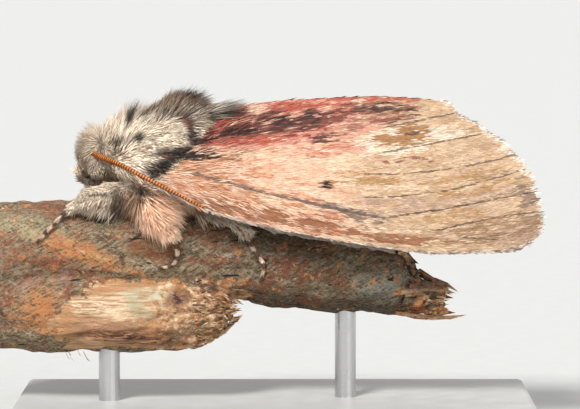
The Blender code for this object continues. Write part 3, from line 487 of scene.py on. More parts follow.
def branch(xs, ys, zs, radii):
    """A length of twig, with upright rings along X."""
    lines = [smooth_line(xs, values) for values in (ys, zs, radii)]

    def place(a, b):
        x = xs[0] + (xs[-1] - xs[0]) * b
        y, z, radius = (line(x) for line in lines)
        turn = 2 * np.pi * a
        return np.stack([x + 0 * a, y - radius * np.sin(turn), z + radius * np.cos(turn)], -1)

    return Form(place)


def thorax_form(depth):
    """The thorax, this deep inside the solid's core; a is 0 at the top of the back."""

    def place(a, b):
        x = THORAX_X[0] + (THORAX_X[-1] - THORAX_X[0]) * b
        turn = 2 * np.pi * a
        middle = (thorax_top(x) + thorax_bottom(x)) / 2
        half_height = (thorax_top(x) - thorax_bottom(x)) / 2 - depth
        y = -(thorax_half_width(x) - depth) * np.sin(turn)
        return np.stack([x, y, middle + half_height * np.cos(turn)], -1)

    return Form(place)


def head_form(depth):
    """The head's egg shape, b from the face back to the neck."""

    def place(a, b):
        turn = 2 * np.pi * a
        lift = np.pi * b
        rx, ry, rz = (radius - depth for radius in HEAD_RADII)
        x = HEAD_CENTRE[0] - rx * np.cos(lift)
        y = HEAD_CENTRE[1] - ry * np.sin(lift) * np.sin(turn)
        z = HEAD_CENTRE[2] + rz * np.sin(lift) * np.cos(turn)
        return np.stack([x, y, z], -1)

    return Form(place)


def eye_form(side):
    """The eye's ball, b from the face back."""

    def place(a, b):
        turn = 2 * np.pi * a
        lift = np.pi * b
        x = EYE_CENTRE[0] - EYE_RADIUS * np.cos(lift)
        y = -side * EYE_CENTRE[1] - EYE_RADIUS * np.sin(lift) * np.sin(turn)
        return np.stack([x, y, EYE_CENTRE[2] + EYE_RADIUS * np.sin(lift) * np.cos(turn)], -1)

    return Form(place)


def roof(t):
    """How far out a wing lies, from 0 at the ridge to 1 at the eave."""
    return 1 - (1 - np.clip(t, 0, 1)) ** ROOF_BULGE


def wing_at(x, t, side):
    """The wing's outer face at x, a share t of the way down from ridge to eave."""
    z = ridge_z(x) - t * (ridge_z(x) - eave_z(x))
    y = RIDGE_Y + WING_SLIT + (eave_y(x) - RIDGE_Y) * roof(t)
    return np.stack([x, side * y, z], -1)


def forewing_form(side):
    """The forewing; a runs down from the ridge and b out from the root, along the veins."""

    def place(a, b):
        bow = np.sin(np.pi * np.clip(a, 0, 1)) * np.sin(np.pi * np.clip(b, 0, 1))
        t = a + VEIN_BOW * bow
        x = root_x(t) + (edge_x(t) - FRINGE - root_x(t)) * b
        return wing_at(x, t, side)

    return Form(place, side)


def wing_flow(spot):
    """Which flow line a spot of the wing lies on, and the lie's slope there in side view."""
    x, _, z = spot.T
    line = (z - flow_z(x)) * np.exp(-flow_spread(x))
    ahead = flow_z(x + 0.1) + line * np.exp(flow_spread(x + 0.1))
    return line, (ahead - z) / 0.1


def wing_lie(spot, normal):
    """Along the flow lines, and along the ridge and the front edge close to them."""
    x, _, z = spot.T
    slope = wing_flow(spot)[1]
    for edge in (ridge_z, eave_z):
        near = rise(np.abs(z - edge(x)), 0.6, 0.1)
        slope = slope + (edge(x + 0.1) - edge(x)) / 0.1 * near - slope * near
    return np.stack([np.ones(len(spot)), 0 * slope, slope], -1)


def hindwing_form(side):
    """The front part of the hindwing, close inside the forewing and just below its edge."""

    def place(a, b):
        share = np.clip(a, 0, 1)
        start = HINDWING_X[0] + HINDWING_ROOT_SLOPE * share**0.7
        end = HINDWING_X[1] - 1.8 * (1 - share) ** 2 - 0.7 * share**4
        x = start + (end - start) * b
        t = HINDWING_T[0] + (HINDWING_T[1] - HINDWING_T[0]) * a
        spot = wing_at(x, np.minimum(t, 1.0), side)
        spot[..., 2] -= np.maximum(t - 1.0, 0.0) * (ridge_z(x) - eave_z(x))
        spot[..., 1] -= side * HINDWING_DEPTH
        return spot

    return Form(place, side)


def other_side(path, side):
    """A left path as it is for side -1, or mirrored."""
    return [(x, -side * y, z) for x, y, z in path]


# Meshes
def bent_grid(form, across, along, closed=True):
    """A grid that a form bends into shape; closed joins its long edges and caps its ends."""
    bm = bmesh.new()
    bmesh.ops.create_grid(bm, x_segments=across, y_segments=along, size=0.5)
    flat = np.array([vertex.co[:2] for vertex in bm.verts]) + 0.5
    spots = form.place(flat[:, 0], flat[:, 1])
    for vertex, spot in zip(bm.verts, spots):
        vertex.co = spot
    if closed:
        close_up(bm)
    return bm, flat


def close_up(bm):
    """Joins the long edges of a grid bent into a tube, caps its ends and turns its faces outwards."""
    bmesh.ops.remove_doubles(bm, verts=bm.verts, dist=1e-4)
    bmesh.ops.holes_fill(bm, edges=[edge for edge in bm.edges if edge.is_boundary], sides=0)
    bmesh.ops.recalc_face_normals(bm, faces=bm.faces)


def joined_bodies(bodies):
    """One bmesh of several, which are used up."""
    whole = bmesh.new()
    for body in bodies:
        mesh = bpy.data.meshes.new("part")
        body.to_mesh(mesh)
        body.free()
        whole.from_mesh(mesh)
        bpy.data.meshes.remove(mesh)
    return whole


def wrapped(bodies, voxel, rounds):
    """One closed skin, in millimetres, round the union of the bodies, smoothed this many rounds."""
    whole = joined_bodies(bodies)
    mesh = bpy.data.meshes.new("wrapped")
    whole.to_mesh(mesh)
    whole.free()
    obj = bpy.data.objects.new("wrapped", mesh)
    bpy.context.scene.collection.objects.link(obj)
    remesh = obj.modifiers.new("wrap", "REMESH")
    remesh.mode = "VOXEL"
    remesh.voxel_size = voxel
    smooth = obj.modifiers.new("smooth", "SMOOTH")
    smooth.iterations = rounds
    graph = bpy.context.evaluated_depsgraph_get()
    skin = bpy.data.meshes.new_from_object(obj.evaluated_get(graph))
    bpy.data.objects.remove(obj)
    bpy.data.meshes.remove(mesh)
    return skin


def points_of(mesh):
    """The mesh's points, one row for each."""
    points = np.empty(len(mesh.vertices) * 3)
    mesh.vertices.foreach_get("co", points)
    return points.reshape(-1, 3)


def normals_of(mesh):
    """The mesh's normals, one row for each point."""
    normals = np.empty(len(mesh.vertices) * 3)
    mesh.vertices.foreach_get("normal", normals)
    return normals.reshape(-1, 3)


def move_points(mesh, points):
    """Puts the mesh's points at new places."""
    mesh.vertices.foreach_set("co", points.astype(np.float32).ravel())
    mesh.update()


def clouds(points, scale, shift=(0.0, 0.0, 0.0)):
    """Noise from -1 to 1 at each point, drawn out along the axes by the scale."""
    moved = points * np.array(scale) + np.array(shift)
    return np.array([noise.noise(Vector(point)) for point in moved])


def note(mesh, name, values):
    """Stores a vector, or one number, at each point under an attribute's name."""
    values = np.asarray(values, np.float32)
    if values.ndim == 1:
        mesh.attributes.new(name, "FLOAT", "POINT").data.foreach_set("value", values)
    else:
        mesh.attributes.new(name, "FLOAT_VECTOR", "POINT").data.foreach_set("vector", values.ravel())


def finished(name, mesh, material, stands_for=(), smooth=True):
    """The piece itself: the mesh in metres, finished with the material, riding on the frame."""
    mesh.polygons.foreach_set("use_smooth", [smooth] * len(mesh.polygons))
    move_points(mesh, points_of(mesh) * MM)
    mesh.name = name
    mesh.materials.clear()
    mesh.materials.append(material)
    obj = bpy.data.objects.new(name, mesh)
    bpy.context.scene.collection.objects.link(obj)
    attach(obj, "root")
    if stands_for:
        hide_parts(*stands_for)
    return obj


def mesh_from(bm, name):
    """A mesh of the bmesh, which is used up."""
    mesh = bpy.data.meshes.new(name)
    bm.to_mesh(mesh)
    bm.free()
    return mesh


# Coats
BAKE_PATCH = 0.0015  # half the size of a tuft's patch on the bake map
LOCK_STOPS = ((0.0, 0.85), (0.5, 1.0), (1.0, 0.0))  # share of the length and of the width
LOCK_CORNERS = 7
COLOUR_SHARE = 0.6  # how far along a tuft or scale the part lies that is seen and gives it its colour
SCALE_BROAD = 0.62  # share of a scale's length at which it is broadest
SCALE_CREST = 0.45  # and at which its ridge is highest
SCALE_RIDGE = 0.007
ROOT_DEPTH = 0.02  # how far a tuft's root lies below the surface
LOCK_FACES = np.array(
    [[0, 2, 1]]
    + [face for k in range(3) for face in ([k, (k + 1) % 3, 3 + (k + 1) % 3], [k, 3 + (k + 1) % 3, 3 + k])]
    + [[3 + k, 3 + (k + 1) % 3, 6] for k in range(3)]
)
SCALE_FACES = np.array([[0, 1, 3], [0, 3, 2], [1, 4, 3], [2, 3, 4], [0, 2, 1], [1, 2, 4]])


def columns(count, *values):
    """Each value, which is one number or one for each body, as a column."""
    return [np.broadcast_to(np.asarray(value, float), (count,))[:, None] for value in values]


class Coat:
    """Gathers tufts and scales, and turns them into one mesh with their roots and bake map."""

    def __init__(self):
        self.points, self.faces, self.maps, self.roots, self.strands, self.flows = [], [], [], [], [], []
        self.count = 0

    def take(self, growth, points, template, across, along, shown, tone):
        """Adds like bodies: points is bodies x corners x 3, template their faces by corner number.

        across and along place each corner on the body's patch of the bake map, and the spot in shown
        gives the whole body its colour.
        """
        bodies, corners = points.shape[:2]
        starts = self.count + corners * np.arange(bodies)
        self.faces.append((starts[:, None, None] + template[None]).reshape(-1, 3))
        self.points.append(points.reshape(-1, 3))
        spread = np.stack([np.tile(across, (bodies, 1)), np.tile(2 * along - 1, (bodies, 1))], -1)
        self.maps.append((growth["map"][:, None, :] + spread * BAKE_PATCH).reshape(-1, 2))
        self.roots.append(np.repeat(shown, corners, 0))
        strand = np.tile(along, bodies), np.repeat(growth["random"], corners), np.repeat(tone, corners)
        self.strands.append(np.stack(strand, -1))
        self.flows.append(np.repeat(growth["flow"], corners, 0))
        self.count += bodies * corners

    def locks(self, growth, length, width, lift, bend, tone=0.0, thick=0.45):
        """Tapered three-sided tufts, lifted by radians off the surface; bend brings the tip back down."""
        spot, normal, along = growth["spot"], growth["normal"], growth["lie"]
        length, width, lift, bend, tone = columns(len(spot), length, width, lift, bend, tone)
        side = unit(np.cross(normal, along))
        rings = []
        for share, wide in LOCK_STOPS:
            out = np.sin(lift) * length * share - bend * length * share**2
            out = out - ROOT_DEPTH * (share == 0.0)
            middle = spot + along * (np.cos(lift) * length * share) + normal * out
            if share == 1.0:
                rings.append(middle[:, None])
                continue
            half = side * (width * wide / 2)
            crest = normal * (width * wide * thick)
            rings.append(np.stack([middle - half, middle + half, middle + crest], 1))
        across = np.array([-1, 1, 0] * 2 + [0], float)
        share = np.array([0.0] * 3 + [0.5] * 3 + [1.0])
        shown = spot + (along * np.cos(lift) + normal * np.sin(lift)) * length * COLOUR_SHARE
        self.take(growth, np.concatenate(rings, 1), LOCK_FACES, across, share, shown, tone[:, 0])

    def scales(self, growth, length, width, lift, tone=0.0):
        """Flat kite-shaped wing scales, a little raised at their tips."""
        spot, normal, along = growth["spot"], growth["normal"], growth["lie"]
        length, width, lift, tone = columns(len(spot), length, width, lift, tone)
        side = unit(np.cross(normal, along)) * width / 2
        way = along * np.cos(lift) + normal * np.sin(lift)
        broad = spot + way * length * SCALE_BROAD
        crest = spot + way * length * SCALE_CREST + normal * SCALE_RIDGE
        corners = [spot, broad - side, broad + side, crest, spot + way * length]
        across = np.array([0, -1, 1, 0, 0], float)
        share = np.array([0.0, SCALE_BROAD, SCALE_BROAD, SCALE_CREST, 1.0])
        shown = spot + way * length * COLOUR_SHARE
        self.take(growth, np.stack(corners, 1), SCALE_FACES, across, share, shown, tone[:, 0])

    def mesh(self, name):
        """One mesh of all that was gathered."""
        points = np.concatenate(self.points).astype(np.float32)
        faces = np.concatenate(self.faces)
        mesh = bpy.data.meshes.new(name)
        mesh.vertices.add(len(points))
        mesh.vertices.foreach_set("co", points.ravel())
        mesh.loops.add(faces.size)
        mesh.loops.foreach_set("vertex_index", faces.ravel().astype(np.int32))
        mesh.polygons.add(len(faces))
        mesh.polygons.foreach_set("loop_start", np.arange(0, faces.size, 3, dtype=np.int32))
        mesh.update(calc_edges=True)
        bake = mesh.uv_layers.new(name="OFBake")
        spots = np.concatenate(self.maps).astype(np.float32)[faces.ravel()]
        bake.uv.foreach_set("vector", spots.ravel())
        note(mesh, "root", np.concatenate(self.roots))
        note(mesh, "strand", np.concatenate(self.strands))
        note(mesh, "flow", np.concatenate(self.flows))
        return mesh


def growth_on(form, count, lie, chance, keep=None, window=(0.0, 1.0, 0.0, 1.0), cell=(0.0, 0.0, 1.0, 1.0)):
    """Roots spread evenly over the part of a form in the window of a and b, with the way that each lies.

    lie(spot, normal) gives the way of the coat, keep(spot) which roots stay, and cell the form's corner and
    size on the bake map.
    """
    steps = 60
    a_low, a_high, b_low, b_high = window
    ga, gb = np.meshgrid(np.linspace(a_low, a_high, steps), np.linspace(b_low, b_high, steps), indexing="ij")
    corners = form.place(ga, gb)
    edges = np.cross(corners[1:, :-1] - corners[:-1, :-1], corners[:-1, 1:] - corners[:-1, :-1])
    area = np.linalg.norm(edges, axis=-1).ravel()
    cells = chance.choice(area.size, count, p=area / area.sum())
    size_a = (a_high - a_low) / (steps - 1)
    size_b = (b_high - b_low) / (steps - 1)
    a = a_low + (cells // (steps - 1) + chance.random(count)) * size_a
    b = b_low + (cells % (steps - 1) + chance.random(count)) * size_b
    spot = form.place(a, b)
    normal, along = form.normals(a, b)
    if keep is not None:
        stay = keep(spot)
        a, b, spot, normal, along = a[stay], b[stay], spot[stay], normal[stay], along[stay]
    way = along if lie is None else lie(spot, normal)
    way = way - normal * (way * normal).sum(-1, keepdims=True)
    room = 1 - 2 * BAKE_PATCH
    turns = np.mod(a, 1.0001)  # past 1, so that a full share stays at the far edge
    map_spot = np.stack(
        [
            cell[0] + cell[2] * (BAKE_PATCH + room * turns),
            cell[1] + cell[3] * (BAKE_PATCH + room * np.clip(b, 0, 1)),
        ],
        -1,
    )
    random = chance.random(len(a))
    return {
        "spot": spot,
        "normal": normal,
        "lie": unit(way),
        "map": map_spot,
        "random": random,
        "flow": np.stack([b, a, random], -1),
    }


def scattered(growth, chance, amount):
    """Turns each tuft's way a little within the surface, by amount in radians."""
    turn = chance.normal(0.0, amount, len(growth["spot"]))[:, None]
    side = np.cross(growth["normal"], growth["lie"])
    growth["lie"] = unit(growth["lie"] * np.cos(turn) + side * np.sin(turn))
    return growth


def clumps(growth, scale):
    """A share from -1 to 1 for each tuft that is alike for neighbours."""
    return clouds(growth["spot"], (scale, scale, scale))


# Shader nodes
class Graph:
    """Adds linked nodes to a shader tree in short calls."""

    def __init__(self, tree):
        self.tree = tree

    def add(self, kind, inputs=None, **settings):
        """A new node with these inputs and settings."""
        node = self.tree.nodes.new(kind)
        for key, value in settings.items():
            setattr(node, key, value)
        for key, value in (inputs or {}).items():
            self.feed(node.inputs[key], value)
        return node

    def feed(self, socket, value):
        """Links another node's output to the socket, or sets the socket's own value."""
        if isinstance(value, bpy.types.NodeSocket):
            self.tree.links.new(value, socket)
        elif socket.type == "RGBA":
            socket.default_value = (*value[:3], 1.0)
        else:
            socket.default_value = value

    def math(self, operation, *values):
        return self.add("ShaderNodeMath", dict(enumerate(values)), operation=operation).outputs[0]

    def plus(self, one, other):
        return self.math("ADD", one, other)

    def minus(self, one, other):
        return self.math("SUBTRACT", one, other)

    def times(self, one, other):
        return self.math("MULTIPLY", one, other)

    def held(self, value, low, high):
        """The value kept between low and high; low may be the larger."""
        inputs = {"Value": value, "Min": min(low, high), "Max": max(low, high)}
        return self.add("ShaderNodeClamp", inputs).outputs["Result"]

    def vector(self, operation, *values):
        node = self.add("ShaderNodeVectorMath", dict(enumerate(values)), operation=operation)
        return node.outputs["Value" if operation in ("LENGTH", "DOT_PRODUCT") else "Vector"]

    def mix(self, share, below, above, blend="MIX"):
        """The colour below where the share is 0, above where it is 1."""
        node = self.add("ShaderNodeMix", {0: share, 6: below, 7: above}, data_type="RGBA", blend_type=blend)
        return node.outputs[2]

    def noise(self, place, scale, detail=2.0, roughness=0.5):
        """Cloudy noise; a scale of three numbers draws it out along the axes."""
        if isinstance(scale, tuple):
            place, scale = self.stretched(place, scale), 1.0
        inputs = {"Vector": place, "Scale": scale, "Detail": detail, "Roughness": roughness}
        return self.add("ShaderNodeTexNoise", inputs).outputs["Fac"]

    def between(self, value, low, high, to_low=0.0, to_high=1.0):
        """to_low below low, to_high above high, smooth between them; low may be the larger."""
        inputs = {"Value": value, "From Min": low, "From Max": high, "To Min": to_low, "To Max": to_high}
        node = self.add("ShaderNodeMapRange", inputs, interpolation_type="SMOOTHSTEP", clamp=False)
        return self.held(node.outputs["Result"], to_low, to_high)

    def lit(self, colour, red, green=None, blue=None):
        """The colour times a light, which may differ from channel to channel."""
        light = self.whole(red, red if green is None else green, red if blue is None else blue)
        return self.mix(1.0, colour, light, "MULTIPLY")

    def stretched(self, place, scale):
        """The place drawn out along its axes."""
        return self.vector("MULTIPLY", place, scale)

    def turned(self, place, angle):
        """The place turned in side view by an angle in radians."""
        inputs = {"Vector": place, "Angle": angle}
        return self.add("ShaderNodeVectorRotate", inputs, rotation_type="Y_AXIS").outputs[0]

    def parts(self, place):
        return self.add("ShaderNodeSeparateXYZ", {"Vector": place}).outputs

    def whole(self, x, y, z):
        return self.add("ShaderNodeCombineXYZ", {"X": x, "Y": y, "Z": z}).outputs["Vector"]

    def group(self, tree, inputs):
        """The outputs of a shader group placed with these inputs."""
        node = self.tree.nodes.new("ShaderNodeGroup")
        node.node_tree = tree
        for key, value in inputs.items():
            self.feed(node.inputs[key], value)
        return node.outputs

    def attribute(self, name):
        return self.add("ShaderNodeAttribute", attribute_name=name).outputs["Vector"]


SOCKETS = {"number": "NodeSocketFloat", "vector": "NodeSocketVector", "colour": "NodeSocketColor"}


def new_group(name, inputs, outputs):
    """A shader node group with named sockets: its tree, a Graph in it, its inputs and its output node."""
    tree = bpy.data.node_groups.new(name, "ShaderNodeTree")
    for kinds, way in ((inputs, "INPUT"), (outputs, "OUTPUT")):
        for socket, kind in kinds.items():
            tree.interface.new_socket(name=socket, in_out=way, socket_type=SOCKETS[kind])
    graph = Graph(tree)
    given = graph.add("NodeGroupInput").outputs
    result = graph.add("NodeGroupOutput")
    return tree, graph, given, result


def patch_group():
    """A soft-edged oval round Centre: Along, Side and Across are its three axes, each over its own reach."""
    vectors = ("Place", "Centre", "Along", "Side", "Across")
    kinds = {**dict.fromkeys(vectors, "vector"), "Softness": "number"}
    tree, g, given, result = new_group("patch", kinds, {"Mask": "number"})
    away = g.vector("SUBTRACT", given["Place"], given["Centre"])
    squares = 0.0
    for axis in vectors[2:]:
        share = g.vector("DOT_PRODUCT", away, given[axis])
        squares = g.plus(squares, g.times(share, share))
    far = g.plus(1.0, given["Softness"])
    near = g.minus(1.0, given["Softness"])
    g.feed(result.inputs["Mask"], g.between(g.math("SQRT", squares), far, near))
    return tree


def patch_inputs(place, centre, reach, turn, softness):
    """Inputs of the patch group for an oval turned by so many degrees in side view."""
    cosine, sine = math.cos(math.radians(turn)), math.sin(math.radians(turn))
    return {
        "Place": place,
        "Centre": centre,
        "Along": (cosine / reach[0], 0.0, sine / reach[0]),
        "Side": (0.0, 1 / reach[1], 0.0),
        "Across": (-sine / reach[2], 0.0, cosine / reach[2]),
        "Softness": softness,
    }


def line_group():
    """A thin line in side view that starts at Height over Start along X and bends by Slope and Curve."""
    kinds = {"Place": "vector", **dict.fromkeys((*LINE_VALUES, "Width"), "number")}
    tree, g, given, result = new_group("line", kinds, {"Mask": "number"})
    spot = g.parts(given["Place"])
    run = g.minus(spot["X"], given["Start"])
    bend = g.plus(given["Slope"], g.times(given["Curve"], run))
    height = g.plus(given["Height"], g.times(run, bend))
    off = g.math("ABSOLUTE", g.minus(spot["Z"], height))
    line = g.between(off, given["Width"], g.times(given["Width"], 0.3))
    started = g.between(run, -0.3, 0.5)
    ended = g.between(g.minus(given["End"], spot["X"]), -0.2, 0.2)
    g.feed(result.inputs["Mask"], g.times(line, g.times(started, ended)))
    return tree


def wing_group(patch, line):
    """The forewing's colours, scale by scale.

    Flow holds the place along X, the flow line and a random share; Across is the share from ridge to edge and
    Tip the share along the scale, by which each scale is darkened towards its root as painted shade.
    """
    kinds = {"Place": "vector", "Flow": "vector", "Across": "number", "Tip": "number"}
    tree, g, given, result = new_group("forewing markings", kinds, {"Colour": "colour", "Height": "number"})
    flow = g.parts(given["Flow"])
    spot = g.parts(given["Place"])
    across, random = given["Across"], flow["Z"]
    lines = g.whole(flow["X"], g.times(flow["Y"], 2.0), 0.0)
    streak = g.noise(lines, (0.55, 3.2, 1.0), 3.0, 0.6)
    fine = g.noise(lines, (1.2, 8.5, 1.0), 2.0, 0.6)
    other = g.noise(g.vector("ADD", g.stretched(lines, (1.0, 7.0, 1.0)), (31.0, 17.0, 5.0)), 1.0, 2.0, 0.6)
    cloud = g.noise(lines, (0.45, 0.9, 1.0), 2.0)
    draw = iter(range(1, 99))

    def sprinkled(share, colour, above, strength=1.0):
        """Lays the colour over the scales where the share is high, with a ragged margin."""
        chance = g.math("FRACT", g.times(random, 11.7 + 6.13 * next(draw)))
        limit = g.plus(0.3, g.times(chance, 0.4))
        hit = g.between(g.minus(share, limit), -0.1, 0.1)
        return g.mix(g.times(hit, strength), colour, above)

    def marked(place, marks, colour):
        """Lays the marks over the colour one by one, broken up by the noise."""
        for i, (tone, centre, reach, turn, softness, strength) in enumerate(marks):
            flat = (centre[0], 0.0, centre[1]), (reach[0], 1.0, reach[1])
            mask = g.group(patch, patch_inputs(place, *flat, turn, softness))["Mask"]
            gaps = g.between((fine, other)[i % 2], 0.6, 0.42, 0.08 + 0.55 * strength**2, 1.0)
            colour = sprinkled(g.times(mask, gaps), colour, tone, 0.55 + 0.45 * strength)
        return colour

    shift_x = g.times(g.minus(streak, 0.5), 2.2)
    shift_z = g.times(g.minus(fine, 0.5), 0.7)
    place = g.whole(g.plus(spot["X"], shift_x), 0.0, g.plus(spot["Z"], shift_z))
    outer = g.between(g.plus(spot["X"], g.times(cloud, 2.0)), 2.5, 6.0)
    drawn = g.plus(g.times(streak, 0.7), g.times(fine, 0.3))
    inner_ground = g.mix(g.between(drawn, 0.42, 0.6), PEACH, CREAM)
    outer_ground = g.mix(g.between(drawn, 0.4, 0.58), TAN, PALE_TAN)
    colour = g.mix(outer, inner_ground, outer_ground)
    low = g.between(spot["Z"], 11.4, 9.2, 0.32, 0.75)
    root = g.between(spot["X"], 1.5, -2.5, -0.12, 0.35)
    inner = g.between(outer, 0.0, 1.0, 1.0, 0.3)
    clusters = g.times(g.between(fine, 0.58, 0.42), g.between(streak, 0.58, 0.44, 0.12, 1.0))
    flecks = g.times(clusters, g.times(g.plus(low, root), inner))
    colour = sprinkled(g.times(flecks, 1.35), colour, ORANGE_BROWN, 0.8)
    dashes = g.times(g.between(streak, 0.5, 0.62), g.times(outer, 0.75))
    colour = sprinkled(dashes, colour, OLIVE, 0.5)
    greys = g.times(g.between(fine, 0.5, 0.62), g.times(outer, 0.6))
    colour = sprinkled(greys, colour, ROSY_GREY, 0.5)
    colour = marked(place, WING_MARKS, colour)
    wave = g.times(g.minus(streak, 0.5), 0.16)
    line_place = g.whole(spot["X"], 0.0, g.plus(spot["Z"], wave))
    stem = dict(zip(LINE_VALUES, STEM_LINE))
    stem_mask = g.group(line, {"Place": line_place, "Width": 0.12, **stem})["Mask"]
    stem_mask = g.times(stem_mask, g.between(other, 0.36, 0.5, 0.45, 0.8))
    colour = sprinkled(stem_mask, colour, GREY_BROWN, 0.9)
    dark = 0.0
    for vein in VEIN_LINES:
        inputs = dict(zip(LINE_VALUES, vein))
        dark = g.plus(dark, g.group(line, {"Place": line_place, "Width": 0.05, **inputs})["Mask"])
    dark = g.times(dark, g.between(other, 0.34, 0.5, 0.35, 1.0))
    colour = sprinkled(dark, colour, VEIN_BROWN, 0.75)
    colour = marked(g.whole(spot["X"], 0.0, spot["Z"]), SPOT_MARKS, colour)
    hatching = g.between(g.noise(given["Place"], (9.0, 3.0, 3.0), 1.0), 0.45, 0.6)
    edge = g.between(across, 0.965, 0.985)
    edge_colour = g.mix(hatching, (0.30, 0.21, 0.17), (0.86, 0.72, 0.60))
    colour = sprinkled(g.times(edge, 0.7), colour, edge_colour)
    colour = g.mix(g.between(across, 1.2, 1.6), colour, (1.0, 0.93, 0.84))
    light = g.plus(0.47, g.times(g.math("FRACT", g.times(random, 5.77)), 0.3))
    # Painted shade: each scale is darker towards its root, where the scales over it would shade it, and a
    # little brighter at its tip.
    light = g.times(light, g.between(given["Tip"], 0.2, 0.9, 0.88, 1.06))
    colour = g.lit(colour, light)
    g.feed(result.inputs["Colour"], colour)
    g.feed(result.inputs["Height"], fine)
    return tree


def coat_group(patch):
    """The colours of skin and hair: pale and grey strands, the coat's markings, and painted shade that
    darkens the roots.
    """
    kinds = {"Place": "vector", "Strand": "vector"}
    tree, g, given, result = new_group("coat markings", kinds, {"Colour": "colour"})
    spot = g.parts(given["Place"])
    strand = g.parts(given["Strand"])
    share, random, tone = strand["X"], strand["Y"], strand["Z"]
    cloud = g.noise(given["Place"], 1.1, 2.0)
    mixed = g.plus(g.times(random, 0.75), g.times(cloud, 0.5))
    colour = g.mix(g.between(mixed, 0.26, 0.62), GREY_HAIR, WHITE_HAIR)
    ticks = g.between(g.noise(given["Place"], (1.6, 2.2, 4.5), 2.0, 0.6), 0.6, 0.68)
    colour = g.mix(g.times(ticks, 0.7), colour, BROWN_HAIR)
    ragged = g.times(g.minus(g.noise(given["Place"], 3.5, 2.0), 0.5), 0.5)
    place = g.whole(g.plus(spot["X"], ragged), g.math("ABSOLUTE", spot["Y"]), g.plus(spot["Z"], ragged))
    for mark, centre, reach, turn, softness, strength in COAT_MARKS:
        mask = g.group(patch, patch_inputs(place, centre, reach, turn, softness))["Mask"]
        broken = g.between(random, 0.0, 0.4, 0.5, 1.0)
        colour = g.mix(g.times(g.times(mask, strength), broken), colour, mark)
    colour = g.mix(g.times(tone, g.between(share, 0.2, 0.7)), colour, DARK_HAIR)
    # Painted shade deep in the coat: each hair is darker towards its root and lighter towards its tip.
    light = g.between(share, 0.0, 0.6, 0.55, 1.16)
    colour = g.lit(colour, light)
    g.feed(result.inputs["Colour"], colour)
    return tree


def grain_group():
    """Fine uneven grain: a share for colour and a height, at Scale to the millimetre."""
    kinds = {"Place": "vector", "Scale": "number"}
    tree, g, given, result = new_group("fine grain", kinds, {"Share": "number", "Height": "number"})
    place = g.vector("MULTIPLY", given["Place"], g.whole(given["Scale"], given["Scale"], given["Scale"]))
    g.feed(result.inputs["Share"], g.noise(place, 0.35, 3.0))
    g.feed(result.inputs["Height"], g.noise(place, 1.0, 3.0, 0.65))
    return tree


def lay_marks(g, patch, place, colour, marks, ragged):
    """Lays marks in side view over a colour, their margins made ragged by a share from 0 to 1."""
    shift = g.times(g.minus(ragged, 0.5), 1.6)
    spot = g.parts(place)
    moved = g.whole(g.plus(spot["X"], shift), 0.0, g.plus(spot["Z"], g.times(shift, 0.6)))
    for tone, centre, reach, turn, softness, strength in marks:
        flat = (centre[0], 0.0, centre[1]), (reach[0], 1.0, reach[1])
        mask = g.group(patch, patch_inputs(moved, *flat, turn, softness))["Mask"]
        broken = g.times(mask, g.between(ragged, 0.42, 0.54, 0.1, 1.0))
        colour = g.mix(g.times(broken, strength), colour, tone)
    return colour


def bark_group(patch):
    """Grey-green fibrous bark with red-brown and orange flecks and dark cracks, darkened with painted shade
    towards its underside and its right end.
    """
    kinds = {"Place": "vector"}
    tree, g, given, result = new_group("bark", kinds, {"Colour": "colour", "Height": "number"})
    place = given["Place"]
    spot = g.parts(place)
    leaning = g.turned(place, 0.5)
    falling = g.turned(place, -0.6)
    fibres = g.noise(leaning, (2.4, 8.0, 11.0), 4.0, 0.75)
    crossing = g.noise(falling, (2.8, 8.0, 12.0), 4.0, 0.75)
    grain = g.noise(place, 7.0, 3.0, 0.7)
    blotch = g.noise(place, (0.6, 1.0, 1.0), 4.0, 0.65)
    fleck = g.noise(place, (2.2, 4.0, 4.0), 4.0, 0.75)
    colour = g.mix(g.between(fibres, 0.38, 0.6), (0.075, 0.055, 0.034), (0.31, 0.25, 0.165))
    colour = g.mix(g.between(crossing, 0.5, 0.66, 0.0, 0.8), colour, (0.42, 0.37, 0.28))
    colour = g.mix(g.between(grain, 0.5, 0.4, 0.0, 0.6), colour, (0.10, 0.06, 0.04))
    colour = g.mix(g.times(g.between(blotch, 0.48, 0.6), g.between(crossing, 0.42, 0.56)), colour, BARK_RED)
    left = g.between(spot["X"], 1.0, -7.0, 0.3, 0.9)
    orange = g.times(g.between(fleck, 0.6, 0.68, 0.0, 0.85), left)
    colour = g.mix(orange, colour, LICHEN_ORANGE)
    pale = g.times(g.between(fleck, 0.42, 0.34), 0.6)
    colour = g.mix(pale, colour, (0.46, 0.44, 0.36))
    colour = lay_marks(g, patch, place, colour, BARK_MARKS, g.mix(0.5, fibres, crossing))
    # Painted shade: to the right of x -2.5 the bark darkens towards its underside, and right of x -4.5 all of
    # it darkens a little more, blue most and red least.
    under = g.between(spot["Z"], 6.4, 5.0, 1.0, 0.55)
    under = g.math("MAXIMUM", under, g.between(spot["X"], -1.0, -2.5))
    under = g.times(under, g.between(spot["X"], -4.5, -1.5, 1.0, 0.78))
    colour = g.lit(colour, under, g.times(under, 0.94), g.times(under, 0.86))
    falls = g.noise(falling, (0.8, 4.0, 7.0), 3.0, 0.7)
    streaks = g.times(g.between(falls, 0.55, 0.63), g.between(spot["X"], -7.0, -8.5))
    streaks = g.times(streaks, g.between(spot["Z"], 6.2, 6.8))
    colour = g.mix(g.times(streaks, 0.8), colour, (0.36, 0.11, 0.055))
    cracks = g.noise(g.stretched(place, (0.6, 3.2, 3.2)), 1.3, 2.0)
    colour = g.mix(g.between(cracks, 0.36, 0.3), colour, CRACK_BLACK)
    g.feed(result.inputs["Colour"], colour)
    height = g.plus(g.times(fibres, 0.7), g.times(crossing, 0.7))
    height = g.plus(height, g.times(grain, 0.4))
    g.feed(result.inputs["Height"], g.plus(height, g.times(cracks, 0.6)))
    return tree


